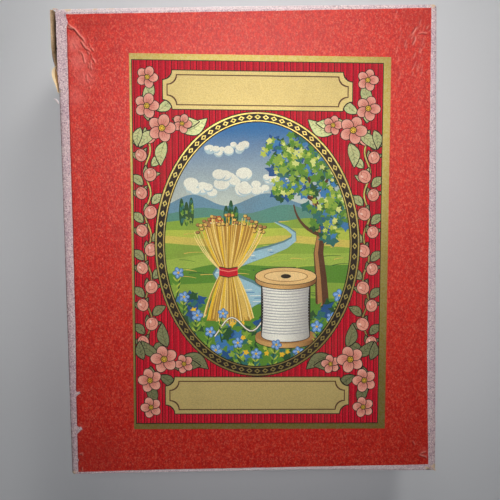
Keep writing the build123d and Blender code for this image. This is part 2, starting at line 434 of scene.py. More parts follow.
def printed_ink():
    """Printing on thin paper: the ink that each face carries, plain or mottled bronze,
    with the grain of the printing stone and a little rubbing. Plain inks are lighter
    towards the label's foot; bronze inks are painted lighter towards its head, a painted
    highlight. How much the ink shines changes a little up the label."""
    f = Finish("printed_label")
    ink = f.add("ShaderNodeAttribute", attribute_name="ink").outputs["Color"]
    metal = f.field("metal")
    stipple = f.noise(0.55, 61, 2.0, 0.6)
    dust = f.noise(14, 62, 3.0)
    ink = f.mix(f.steps(stipple, 0.35, 0.65, 0.0, 0.22), ink, (0.03, 0.02, 0.015))
    ink = f.mix(f.steps(f.noise(0.5, 63), 0.5, 0.7, 0.0, 0.04), ink, (0.85, 0.74, 0.55))
    rubbed = f.steps(f.noise(2.2, 64, 4.0, 0.7), 0.72, 0.78)
    ink = f.mix(f.times(rubbed, 0.4), ink, (0.70, 0.58, 0.40))
    mottle = f.steps(f.noise(0.9, 65, 3.0, 0.6), 0.4, 0.66, 0.0, 0.5)
    ink = f.mix(f.times(metal, mottle), ink, (0.66, 0.56, 0.27))
    ink = f.mix(f.steps(dust, 0.45, 0.8, 0.0, 0.15), ink, (0.16, 0.10, 0.05))
    # Painted highlight: bronze inks lighter towards the head; plain inks lighter towards the foot
    along = f.add("ShaderNodeSeparateXYZ", {"Vector": f.place}).outputs["Y"]
    plain = f.steps(along, -0.10, 0.06, 1.25, 1.0)
    bronze_highlight = f.steps(along, -0.10, 0.10, 0.62, 0.70)
    level = f.plus(plain, f.times(metal, f.math("SUBTRACT", bronze_highlight, plain)))
    ink = f.mix(1.0, ink, level, "MULTIPLY")
    shine = f.times(f.steps(rubbed, 0.0, 1.0, 0.7, 0.1), f.steps(along, 0.06, 0.095, 1.0, 0.5))
    f.feed(f.shader.inputs["Metallic"], f.times(metal, shine))
    rough = f.plus(f.steps(stipple, 0.3, 0.7, 0.50, 0.60), f.times(metal, -0.09))
    relief = f.relief(f.plus(stipple, dust), 0.035)
    return f.done(ink, rough, relief, Specular_IOR_Level=0.12)


RED = red_felt_paper()
GRANITE = granite_paper()
STRAW = straw_board()
GUMMED = gummed_paper()
LINING = lining_paper()
TORN = torn_paper()
INK = printed_ink()


# The speckled strip round the sides

def side_run(start, end, fine=0.5, coarse=3.0, reach=9.0):
    """Positions along one straight side, closer together near its two ends."""
    near = reach if end > start else -reach
    return spaced(np.array([start, start + near, end - near, end]), [fine, coarse, fine])


def strip_path(half_x, half_y, start=None, end=None):
    """Points and outward directions round the walls, clockwise from the back left
    corner: all the way round, or from start on the back to end on the left."""
    x, y = half_x - CORNER_ROUND, half_y - CORNER_ROUND
    back_start = -x if start is None else start
    left_end = y if end is None else end
    points, normals = [], []

    def straight(along, place, normal):
        for a in along:
            points.append(place(a))
            normals.append(normal)

    def corner(centre_x, centre_y, first_turn):
        for step in range(1, 6):
            a = radians(first_turn - 15 * step)
            normals.append((cos(a), sin(a)))
            points.append((centre_x + CORNER_ROUND * cos(a), centre_y + CORNER_ROUND * sin(a)))

    straight(side_run(back_start, x), lambda a: (a, half_y), (0, 1))
    corner(x, y, 90)
    straight(side_run(y, -y), lambda a: (half_x, a), (1, 0))
    corner(x, -y, 0)
    straight(side_run(x, -x), lambda a: (a, -half_y), (0, -1))
    corner(-x, -y, -90)
    straight(side_run(-y, left_end), lambda a: (-half_x, a), (-1, 0))
    if end is None:
        corner(-x, y, 180)
    return np.array(points), np.array(normals)


# The round fold at the strip's rim
HEM = 0.5


def strip_profile(height):
    """The strip's section from its turned-over edge, round the board's edge, down
    the wall and in behind the rim: distance inward, depth below the panel's face
    and the outward direction, one row a point."""
    rows = [(d, 0.0, 0.0, -1.0) for d in spaced(np.array([TURN_OVER, 3.2, EDGE_ROUND]), [1.0, 0.6])]
    for step in range(1, 7):
        a = radians(15 * step)
        rows.append((EDGE_ROUND * (1 - sin(a)), EDGE_ROUND * (1 - cos(a)), -sin(a), -cos(a)))
    through = BOARD + 2 * PAPER
    for h in spaced(np.array([EDGE_ROUND, 6.0, height - HEM]), [0.8, 2.0])[1:]:
        rows.append((0.0, h, -1.0, 0.0))
    for step in (1, 2, 3):
        a = radians(30 * step)
        rows.append((HEM * (1 - cos(a)), height - HEM * (1 - sin(a)), -cos(a), sin(a)))
    for step in (0, 1, 2, 3):
        a = radians(90 - 30 * step)
        rows.append((through - HEM * (1 - cos(a)), height - HEM * (1 - sin(a)), cos(a), sin(a)))
    for h in spaced(np.array([height - HEM, height - TURN_IN]), [2.0])[1:]:
        rows.append((through, h, 1.0, 0.0))
    return np.array(rows)


def wrap(points, normals, half_x, half_y, profile, top, down, proud, thick=PAPER):
    """Grids of the strip's outer and inner skins: the profile taken along the path
    and mitred at the corners. proud lifts the skins a little off the boards."""
    straight = np.abs(normals).max(axis=1)[:, None] > 0.999
    skins = []
    for lift in (proud, proud - thick):
        d = profile[None, :, 0] + lift * profile[None, :, 2]
        h = profile[None, :, 1] + lift * profile[None, :, 3]
        inward = np.where(straight, d, np.minimum(d, CORNER_ROUND))
        x = points[:, None, 0] - normals[:, None, 0] * inward
        y = points[:, None, 1] - normals[:, None, 1] * inward
        x = np.where(d > 0, np.clip(x, d - half_x, half_x - d), x)
        y = np.where(d > 0, np.clip(y, d - half_y, half_y - d), y)
        skins.append(np.stack([x, y, top + down * h], axis=2))
    return skins


def wear_near(x, y, spots):
    """How worn the plane is, from spots of x, y, reach and strength."""
    worn = np.zeros(np.broadcast(x, y).shape)
    for spot_x, spot_y, reach, strength in spots:
        worn = np.maximum(worn, strength * (1 - ramp(np.hypot(x - spot_x, y - spot_y), 0, reach)))
    return worn


# Where the sprung wall runs

SPRUNG_TURN = 2 * atan2(SPRUNG_OUT, SPRUNG_BEND)
SPRUNG_RADIUS = SPRUNG_BEND / (2 * sin(SPRUNG_TURN))
SPRUNG_START = HALF_Y - PAPER - SPRUNG_LENGTH
SPRUNG_ARC = SPRUNG_RADIUS * SPRUNG_TURN
SPRUNG_WHOLE = SPRUNG_LENGTH - SPRUNG_BEND + 2 * SPRUNG_ARC


def sprung_place(along, inward):
    """Where the left wall runs, from its spring's start on, and inward of its outer
    face: a bend outward, a bend back and a straight end. Before the start it's straight."""
    board_x = PAPER - HALF_X
    radius = SPRUNG_RADIUS
    first = np.clip(along / radius, 0, SPRUNG_TURN)
    second = SPRUNG_TURN - np.clip((along - SPRUNG_ARC) / radius, 0, SPRUNG_TURN)
    rest = np.maximum(along - 2 * SPRUNG_ARC, 0) + np.minimum(along, 0)
    bend_end = SPRUNG_START + SPRUNG_BEND
    out_x = board_x - radius + (radius + inward) * np.cos(first)
    out_y = SPRUNG_START + (radius + inward) * np.sin(first) + rest
    back_x = board_x - SPRUNG_OUT + radius - (radius - inward) * np.cos(second)
    back_y = bend_end - (radius - inward) * np.sin(second) + rest
    early = along < SPRUNG_ARC
    return np.where(early, out_x, back_x), np.where(early, out_y, back_y)


def edge_wear(x, y, h, seed, spots, rim):
    """Wear of the strip: a little along the folds, more in patches and at spots."""
    folds = np.exp(-np.abs(h - 0.4) / 0.8) + 0.8 * np.exp(-np.abs(rim - h) / 0.6)
    patches = 0.5 + 0.5 * lumps(x + 3 * h, y - 2 * h, 7.0, seed, 3)
    return np.maximum(folds * (0.1 + 0.35 * patches), wear_near(x, y, spots) * np.exp(-h / 6))


# Where the lid's strip is rubbed bare, and where it's soiled, with painted shadow where it is torn into a
# hole
LID_WEAR = [
    (-94.2, 125.4, 3.6, 1.2), (-87.5, 125.6, 3.5, 1.1), (-80.5, 125.6, 3.5, 1.1),
    (-72.0, 125.6, 4.0, 0.9), (98.2, 124.6, 2.6, 1.0), (99.6, -124.4, 3.4, 1.0), (95.5, -125.4, 3.0, 0.8),
    (-99.3, -124.6, 3.0, 1.0), (-100.2, 82.5, 3.0, 0.8), (-95.2, -99.9, 2.4, 0.8),
]
LID_SOIL_AND_SHADE = [
    (-84.2, 124.7, 1.5, 0.9), (-95.6, 121.6, 1.6, 0.6), (96.3, -126.4, 1.9, 1.0),
    (-99.0, -124.2, 1.2, 0.9), (-95.8, -101.4, 1.6, 1.0), (-95.0, -80.4, 1.2, 0.5),
]


def lid_strip():
    """The lid's strip: the whole band from the burst corner round to the sprung wall,
    what is left of its turned-over edge there, and the skin of the sprung wall."""
    top, height = FLANGE_TOP, FLANGE_TOP - RIM
    start = -HALF_X + PAPER + BOARD
    profile = strip_profile(height)
    path, normals = strip_path(HALF_X, HALF_Y, start, SPRUNG_START)
    run = walked(path)
    settle = np.minimum(ramp(run, 0, 3), ramp(run[-1] - run, 0, 3))
    depth = profile[None, :, 1]
    wave = 0.07 * (1 + lumps(run, depth * 1.5, 9.0, 71, 2)) * settle
    wave = wave * np.where(profile[None, :, 3] == -1, 0.3, 1)
    outer, inner = wrap(path, normals, HALF_X, HALF_Y, profile, top, -1, wave)
    for skin in (outer, inner):
        skin[..., 1] += bowed_edges(skin[..., 0], skin[..., 1], top - skin[..., 2])
    mitre = np.abs((HALF_X - np.abs(outer[..., 0])) - (HALF_Y - np.abs(outer[..., 1])))
    groove = 0.12 * (1 - ramp(mitre, 0.05, 0.6)) * (depth < 0.01)
    outer[..., 2] -= groove
    ragged = 0.7 * lumps(depth[0] * 2.2, 0, 3.0, 72, 2)
    for skin in (outer, inner):
        skin[0, :, 0] += ragged - 0.2
    points, faces = shell(outer, inner)
    rows = both_sides(np.broadcast_to(depth, wave.shape))
    wear = edge_wear(points[:, 0], points[:, 1], rows, 73, LID_WEAR, height)
    turned = int(np.searchsorted(-profile[:, 0], -EDGE_ROUND)) + 2
    flap = torn_flap(profile[:turned], top)
    skin = sprung_skin(profile[turned - 1:], top, height)
    for more_points, more_faces, more_wear in (flap, skin):
        faces += [tuple(i + len(points) for i in face) for face in more_faces]
        points = np.concatenate([points, more_points])
        rows = np.concatenate([rows, top - more_points[:, 2]])
        wear = np.concatenate([wear, more_wear])
    x, y, z = points.T
    return points, faces, {"wear": wear, "grime_and_shade": lid_soil_and_shade(x, y, rows), "pale": lid_strip_highlight(x, y, top - z)}


def lid_strip_highlight(x, y, h):
    """A painted highlight on the lid's strip: along its front edge, and along the fold at its back where
    it catches the light.
    """
    front = (y < -HALF_Y + 6) * (h < 1.5) * (0.10 + 0.45 * np.exp(-((x - 12) / 65) ** 2))
    back = (y > HALF_Y - 1.4) * np.exp(-np.abs(h - 0.2) / 0.6) * (0.6 - 0.35 * ramp(x, 0, 70))
    return front + back


def bowed_edges(x, y, h):
    """How far the lid's front and back edges have bowed out near its top."""
    front_bow, back_bow, reach = 1.6, 0.4, 6
    front = -front_bow * ramp(x, 25, 96) * dying(y + HALF_Y, reach) * (y < 0)
    back = back_bow * (1 - (x / HALF_X) ** 2) * dying(HALF_Y - y, reach) * (y > 0)
    return (1 - ramp(h, 1, 22)) * (front + np.maximum(back, 0))


def lid_soil_and_shade(x, y, h):
    """Darkening of the lid's strip: along its outer edges, more on the left, and at spots, with painted
    shadow in the torn holes.
    """
    edge = np.minimum(HALF_X - x, HALF_X + x + 3 * (y > SPRUNG_START))
    darker_edges = (0.30 + 0.60 * (x < 0)) * dying(edge, 1.0) * np.exp(-h / 1.5)
    along = y - SPRUNG_START
    bent = ramp(along, 5, 11) * (1 - ramp(along, 20, 28)) * (x < -HALF_X - 0.9) * np.exp(-h / 2)
    return np.maximum(np.maximum(darker_edges, 0.65 * bent), wear_near(x, y, LID_SOIL_AND_SHADE) * np.exp(-h / 3))


def torn_flap(profile, top):
    """The turned-over edge above the sprung wall, torn along the fold and lying
    over the back's turned-over edge."""
    end = HALF_Y - 0.5
    y = spaced(np.array([SPRUNG_START, end]), [0.6])[:, None]
    folded = np.broadcast_to(profile[None, :, 0], (len(y), len(profile)))
    flat = np.where(profile[:, 0] < EDGE_ROUND, EDGE_ROUND, profile[:, 0])
    count = int((profile[:, 0] < EDGE_ROUND - 1e-6).sum())
    out = HALF_X + TORN_EDGE_X + 0.28 * lumps(y, 0, 1.6, 81, 3) + 0.1 * lumps(y, 0, 0.5, 82)
    part = np.clip(np.arange(len(profile)) - (len(profile) - 1 - count), 0, count) / count
    flat = flat[None, :] + part[None, :] * (out - EDGE_ROUND)
    open_up = ramp(y, SPRUNG_START, SPRUNG_START + 4)
    d = folded * (1 - open_up) + flat * open_up
    x = -HALF_X + d
    over = ramp(y, HALF_Y - 9, HALF_Y - 7.5) * 0.12
    curl = 0.25 * part[None, :] ** 2 * open_up * (0.6 + 0.6 * lumps(y, 0, 4.0, 83))
    h = profile[None, :, 1] * (1 - open_up) - over - curl
    h = h + rounding(y - (HALF_Y - EDGE_ROUND), EDGE_ROUND, 0.2)
    stop = -95.0 + 0.5 * lumps(y, 0, 1.1, 84, 2)
    x = np.where(y > HALF_Y - 2.4, np.minimum(x, stop), x)
    outer = np.stack([x, np.broadcast_to(y, x.shape), top - h], axis=2)
    lift = profile[None, :, 2:] * (1 - open_up[..., None]) + np.array([0.0, -1.0]) * open_up[..., None]
    inner = outer.copy()
    inner[..., 0] -= PAPER * lift[..., 0]
    inner[..., 2] += PAPER * lift[..., 1]
    points, faces = shell(outer, inner)
    worn = 0.45 * np.exp((part[None, :] - 1) * 2.2) * open_up
    worn = np.maximum(worn, ramp(y, HALF_Y - 1.6, HALF_Y - 0.7) * 0.9)
    worn = worn * (0.75 + 0.35 * lumps(y, 9 * part[None, :], 2.5, 85, 2))
    return points, faces, both_sides(worn)


def sprung_skin(profile, top, height):
    """The strip's skin on the sprung wall, torn off below the wall's top edge."""
    along = spaced(np.array([0.0, SPRUNG_WHOLE]), [0.8])[:, None]
    torn_low = ramp(along, 16, 27)
    uneven = lumps(along, 0, 3.0, 91, 3) * ramp(along, 0, 3)
    tear = 0.1 + 3.6 * torn_low + (0.15 + 0.7 * torn_low) * uneven
    torn_from, hem_from = profile[0, 1], height - HEM
    h = np.broadcast_to(profile[None, :, 1], (len(along), len(profile)))
    on_wall = profile[None, :, 2] * (h <= hem_from) < -0.1
    fall = np.clip((hem_from - h) / (hem_from - torn_from), 0, 1)
    lowered = hem_from - fall * (hem_from - np.maximum(tear, torn_from))
    past_start = on_wall & (along > 0)
    h = np.where(past_start, lowered, h)
    d = np.where(past_start, rounding(EDGE_ROUND - h, EDGE_ROUND), profile[None, :, 0])
    off = 0.35 * np.exp(-(h - tear) / 1.5) * ramp(along, 2, 10) * (0.5 + 0.5 * lumps(along, h, 3.0, 92))
    off = np.where(on_wall, off, 0)
    ragged = 0.8 * lumps(h * 2.0, 0, 3.0, 93, 2) * (along > SPRUNG_WHOLE - 0.1)
    skins = []
    for lift in (off, off - PAPER):
        inward = d + lift * profile[None, :, 2] - PAPER
        x, y = sprung_place(along + ragged, inward)
        skins.append(np.stack([x, y, top - h - lift * profile[None, :, 3]], axis=2))
    points, faces = shell(*skins)
    worn = 0.95 * np.exp(-np.abs(h - tear) / 0.9) * on_wall * ramp(along, 0, 4) * (0.15 + 0.85 * torn_low)
    worn = np.maximum(worn, 0.9 * np.exp(-(SPRUNG_WHOLE - along) / 1.0))
    return points, faces, both_sides(worn)


def strip_overlap(name, y_from, y_to):
    """Where the strip's end lies over its start, on the right side and on what of
    the turned-over edge the red sheet leaves bare."""
    profile = strip_profile(FLANGE_TOP - RIM)
    profile = profile[profile[:, 0] < 4.0]
    y = spaced(np.array([y_from, y_to]), [0.8])
    path = np.stack([np.full(y.shape, HALF_X), y], axis=1)
    normals = np.tile([1.0, 0.0], (len(y), 1))
    over = 0.24 * (1 - 0.45 * ramp(y, y_from, y_to)[:, None])
    outer, inner = wrap(path, normals, HALF_X, HALF_Y, profile, FLANGE_TOP, -1, over, 0.12)
    ragged = 0.25 * lumps(profile[:, 1] * 2, profile[:, 0], 2.0, 95, 2)
    for skin in (outer, inner):
        skin[0, :, 1] += ragged
    points, faces = shell(outer, inner)
    wear = np.broadcast_to(0.42 * np.exp(-np.abs(y[:, None] - y_from) / 0.5), outer.shape[:2])
    return make_piece(name, points, faces, GRANITE, "lid", {"wear": both_sides(wear)})


def base_strip():
    """The base's strip, all the way round, with its panel below."""
    half_x, half_y = BASE_HIGH[:2]
    height = BASE_HIGH[2] - BASE_LOW[2]
    profile = strip_profile(height)
    path, normals = strip_path(half_x, half_y)
    depth = profile[None, :, 1]
    wave = 0.05 * (1 + lumps(walked(path), depth * 1.5, 9.0, 75, 2))
    wave = wave * np.where(profile[None, :, 3] == -1, 0, 1)
    outer, inner = wrap(path, normals, half_x, half_y, profile, BASE_LOW[2], 1, wave)
    points, faces = shell(outer, inner, closed=True)
    rows = both_sides(np.broadcast_to(depth, wave.shape))
    corners = [(sx * half_x, sy * half_y, 3.5, 0.9) for sx in (-1, 1) for sy in (-1, 1)]
    wear = edge_wear(points[:, 0], points[:, 1], rows, 76, corners, height)
    return points, faces, wear


# The sprung wall's bare board

def wall_top(whole, across):
    """The sprung wall's top edge: how far it lies below the lid's top, along the wall
    and across it, and how much painted shade darkens it there in its grooves and split,
    and darker along its bend. Up to the spring it is the board's rounded edge, and
    from there on it is frayed, grooved between its plies and split."""
    edge = EDGE_ROUND - PAPER
    bare = ramp(whole, 0, 6)
    wander = 0.12 * lumps(whole, 0, 9.0, 101, 2)
    inner_groove = np.exp(-((across - 1.35 + wander) / 0.12) ** 2)
    grooves = 0.6 * np.exp(-((across - 0.85 - wander) / 0.12) ** 2) + inner_groove
    fray = 0.22 * lumps(whole, across * 6, 1.6, 102, 3) + 0.12 * lumps(whole, across * 9, 0.6, 103)
    split = ramp(across, 1.55 + wander, 1.75 + wander) * ramp(whole, 2, 10)
    torn = np.maximum(0.2 + 0.2 * np.exp(-across / 0.3) + fray, -0.2) + 0.45 * grooves
    split_depth = 4.2 + 1.2 * lumps(whole, 0, 5.0, 106)
    torn = torn * (1 - split) + split_depth * split
    bent = 0.35 * ramp(whole, 4, 10) * (1 - ramp(whole, 18, 30))
    # Painted shade in the grooves and the split, darker along the bend
    dark = bare * np.clip(grooves * 0.6 + split + bent, 0, 1)
    return rounding(edge - across, edge) * (1 - bare) + torn * bare, dark


def sprung_wall():
    """The lid's left wall: board swept along the wall's line, its top edge split
    into plies where the paper has torn off it."""
    low_end = -HALF_Y + PAPER
    whole = np.concatenate([
        spaced(np.array([low_end, low_end + 2, SPRUNG_START]) - SPRUNG_START, [0.3, 4.0])[:-1],
        spaced(np.array([0.0, SPRUNG_WHOLE]), [0.55]),
    ])[:, None]
    depth = FLANGE_TOP - PAPER - WALL_LOW[2]
    across = np.linspace(0, BOARD, 15)
    top, top_dark = wall_top(whole, across)
    stay_top, stay_low, step = 2.5, depth - 3.0, 0.01
    down = [0.9, 1.6, stay_top - step, stay_top, 8, 14, 20, stay_low, stay_low + step, depth - 0.6, depth]
    ring_d = np.concatenate([across, np.full(len(down), BOARD), np.zeros(len(down))])
    ring_h = np.concatenate([0 * across, down, down[::-1]])
    on_top = np.arange(len(ring_d)) < len(across)
    outer_face = np.arange(len(ring_d)) >= len(ring_d) - len(down)
    h = np.broadcast_to(ring_h, (len(whole), len(ring_d))).copy()
    h[:, on_top] = top
    edge_top = np.where(outer_face, top[:, :1], top[:, -1:]) + 0.02
    h = np.where(on_top, h, np.maximum(h, edge_top + 0.004 * ring_h))
    corner = rounding(low_end + EDGE_ROUND - (whole + SPRUNG_START), EDGE_ROUND)
    near_end = (whole < low_end - SPRUNG_START + 12) | (whole > SPRUNG_WHOLE - 12)
    rebate = PAPER * near_end * outer_face * (ring_h >= stay_top) * (ring_h <= stay_low)
    x, y = sprung_place(whole, np.maximum(ring_d, corner) + rebate)
    y[-1] += np.minimum(0.35 * lumps(ring_h * 1.5, ring_d * 3, 1.5, 104, 2), 0.1)
    rings = np.stack([x, y, FLANGE_TOP - PAPER - h], axis=2)
    upper = ramp(whole, 0, 6) * on_top
    pale = np.exp(-np.abs(ring_d - 0.3) / 0.6) * upper * (0.75 + 0.3 * lumps(whole, 0, 4.0, 105, 2))
    pale = pale * (0.2 + 0.8 * ramp(whole, 18, 30))
    pale = np.maximum(pale, 0.9 * np.exp(-(SPRUNG_WHOLE - whole) / 1.2) * upper)
    dark = np.zeros(h.shape)
    dark[:, on_top] = top_dark
    # Painted shade on the wall's inner face under the flange
    inner_face_in_shade = (ring_d == BOARD) & (ring_h < 9) & ~outer_face
    dark[:, inner_face_in_shade] = ramp(whole, 0, 6)
    return rings.reshape(-1, 3), tube(rings), {"wear": pale.ravel(), "grime_and_shade": dark.ravel()}


# The red sheet

# Creases as routes on the lid in millimetres, each with a height. Each is sharp on the
# side away from the back right corner. Along its crest on the lit side it is painted pale,
# partly rubbing and partly a painted highlight, and beside the crest a painted shade line.
CREASES = [
    ([(-94.8, 118.0), (-92.6, 115.6), (-90.7, 114.6), (-88.2, 111.3), (-86.6, 109.7),
      (-85.0, 106.8)], 0.80),
    ([(-94.6, 115.7), (-92.6, 114.9), (-91.3, 114.5)], 0.45),
    ([(-87.6, 108.6), (-86.4, 106.5), (-85.3, 104.8), (-83.5, 103.5)], 0.60),
    ([(-84.6, 103.0), (-83.3, 101.4)], 0.30),
    ([(-82.1, 104.8), (-81.2, 103.0)], 0.30),
    ([(-82.2, 99.7), (-80.8, 98.1), (-80.4, 96.5)], 0.35),
    ([(-82.8, 99.0), (-82.8, 95.2), (-82.1, 92.8)], 0.25),
    ([(-88.0, 103.1), (-86.7, 101.2), (-86.0, 97.8), (-85.9, 96.2)], 0.30),
    ([(-83.9, 97.0), (-83.5, 94.1)], 0.22),
    ([(-85.1, 91.2), (-85.1, 88.2), (-84.1, 86.3)], 0.20),
    ([(89.4, 113.3), (88.4, 111.5), (86.9, 109.4)], 0.45),
    ([(88.8, 108.7), (88.6, 106.5), (87.1, 103.7)], 0.45),
    ([(90.2, 109.9), (92.1, 110.3), (95.5, 109.9)], 0.30),
    ([(95.6, 114.0), (94.5, 111.8)], 0.28),
    ([(97.0, 112.1), (95.6, 110.7)], 0.25),
    ([(92.1, 102.2), (91.3, 99.6)], 0.25),
    ([(88.9, 100.4), (88.3, 98.5), (87.5, 96.7)], 0.28),
    ([(88.3, 92.9), (86.9, 91.0)], 0.22),
    ([(79.0, 121.9), (78.7, 120.2)], 0.25),
    ([(90.8, -117.4), (92.4, -118.1), (94.4, -118.6), (95.4, -119.7)], 0.45),
    ([(91.7, -116.7), (93.2, -116.2), (94.8, -115.8)], 0.40),
    ([(87.3, -109.8), (88.9, -112.3)], 0.25),
    ([(-95.8, -113.6), (-93.9, -113.1), (-93.8, -115.0)], 0.28),
    ([(-94.3, -120.9), (-94.2, -123.2)], 0.30),
]

# Where the red is painted paler, partly rubbed pale and near the back left corner a
# painted highlight, and where it is painted darker, in patches and at the front corners
# and sides as painted shade: place, reach, strength
FADED_AND_HIGHLIGHT = [
    (-91.5, 107.0, 8.0, 0.85), (-89.0, 98.0, 9.0, 0.7), (-86.0, 90.0, 9.0, 0.5), (-91.0, 80.0, 9.0, 0.4),
    (78.4, 118.5, 1.2, 0.7), (84.5, 114.9, 1.2, 0.6), (89.0, 108.0, 6.0, 0.2), (-95.0, -79.0, 3.0, 0.4),
    (-94.5, -99.0, 3.5, 0.4), (93.5, -115.5, 5.0, 0.2),
]
DARKER_RED_AND_SHADE = [
    (-84.0, 117.0, 8.0, 0.6), (-75.0, 119.0, 8.0, 0.45), (-78.0, 112.0, 7.0, 0.4),
    (-66.0, 120.0, 8.0, 0.3), (92.0, 118.0, 7.0, 0.6), (85.0, 119.0, 7.0, 0.4), (96.0, 122.0, 5.0, 0.5),
    (-72.0, 8.0, 5.0, 0.4), (-72.0, -3.0, 5.0, 0.4), (-88.0, -114.0, 24.0, 0.4),
    (90.0, -110.0, 24.0, 0.2), (-90.0, -72.0, 20.0, 0.18), (92.0, -72.0, 20.0, 0.18),
]

# Nicks in the sheet's left edge: from, deepest and to along Y, and depth
NICKS = [
    (-81.6, -79.7, -78.7, 2.5), (-102.5, -99.7, -97.8, 2.9), (-118.2, -117.0, -115.8, 0.6),
    (40.0, 41.0, 42.0, 0.4), (115.8, 118.0, 120.6, 0.9),
]


def crease_near(x, y, route):
    """How far each place is from a crease, positive on its lit side, and how strong
    the crease is there: it fades towards its ends."""
    nearest, along = np.full(x.shape, 1e9), np.zeros(x.shape)
    length = sum(hypot(b[0] - a[0], b[1] - a[1]) for a, b in zip(route, route[1:]))
    done = 0.0
    for (ax, ay), (bx, by) in zip(route, route[1:]):
        dx, dy = bx - ax, by - ay
        piece = hypot(dx, dy)
        t = np.clip(((x - ax) * dx + (y - ay) * dy) / piece ** 2, 0, 1)
        gap_x, gap_y = x - ax - t * dx, y - ay - t * dy
        lit = 1 if 0.6 * dx > 0.8 * dy else -1
        off = np.hypot(gap_x, gap_y) * np.where(lit * (gap_y * dx - gap_x * dy) < 0, -1, 1)
        closer = np.abs(off) < np.abs(nearest)
        nearest = np.where(closer, off, nearest)
        along = np.where(closer, (done + t * piece) / length, along)
        done += piece
    return nearest, ramp(along, -0.08, 0.2) * (1 - ramp(along, 0.75, 1.05))


def crease_section(off):
    """A slow rise on the lit side, a sudden fall past the crest and a shallow dip."""
    rise = np.exp(-np.maximum(off, 0) / 0.8)
    fall = np.exp(-(np.minimum(off, 0) / 0.36) ** 2)
    return rise * fall - 0.2 * np.exp(-((off + 0.9) / 0.4) ** 2)


def small_wrinkles():
    """Short shallow creases scattered near the two back corners."""
    draw = random.Random(5)
    routes = []
    for _ in range(26):
        x, y = draw.uniform(79, 94), draw.uniform(90, 118)
        length, lean = draw.uniform(2.0, 4.5), draw.uniform(0.3, 0.8)
        routes.append(([(x, y), (x - lean * length * 0.6, y - length)], draw.uniform(0.08, 0.2)))
    for _ in range(14):
        x, y = draw.uniform(-94, -80), draw.uniform(84, 112)
        length, way = draw.uniform(1.5, 3.5), draw.uniform(-1.5, -0.8)
        end = (x + length * cos(way), y + length * sin(way))
        routes.append(([(x, y), end], draw.uniform(0.08, 0.18)))
    return routes


def sheet_height(x, y):
    """The red sheet's upper face: a step down inside the turned-over edge, slow
    waves outside the label, and the creases. Also the painted highlight along each
    crease's crest, partly rubbing, and the painted shade line beside it."""
    inside = ramp(OPEN_X + 2.5 - np.abs(x), 0, 6.0) * ramp(OPEN_Y + 0.5 - np.abs(y), 0, 1.4)
    z = SHEET_HIGH[2] - PAPER * inside
    free = np.maximum(ramp(np.abs(x - 5), 70, 76), ramp(np.abs(y), 102, 108))
    z = z + free * (0.05 * lumps(x, y, 24, 111, 2) + 0.035 * lumps(x, y, 5, 112, 2))
    rub_and_highlight, fold = np.zeros(x.shape), np.zeros(x.shape)
    for route, height in CREASES + small_wrinkles():
        off, strong = crease_near(x, y, route)
        off = off / (0.72 + 0.28 * min(height / 0.6, 1))
        z = z + height * strong * crease_section(off)
        strong = strong * min(height / 0.45, 1)
        # Painted highlight on the crest's lit side, and painted shade line below the crest
        rub_and_highlight = np.maximum(rub_and_highlight, strong * np.exp(-((off - 0.15) / 0.34) ** 2))
        fold = np.maximum(fold, strong * np.exp(-((off + 0.62) / 0.32) ** 2))
    return z, rub_and_highlight, fold


def along_edge(edge, place):
    """Where an edge of the red sheet lies at a place along it."""
    return np.interp(place, [a for a, _ in edge], [b for _, b in edge])


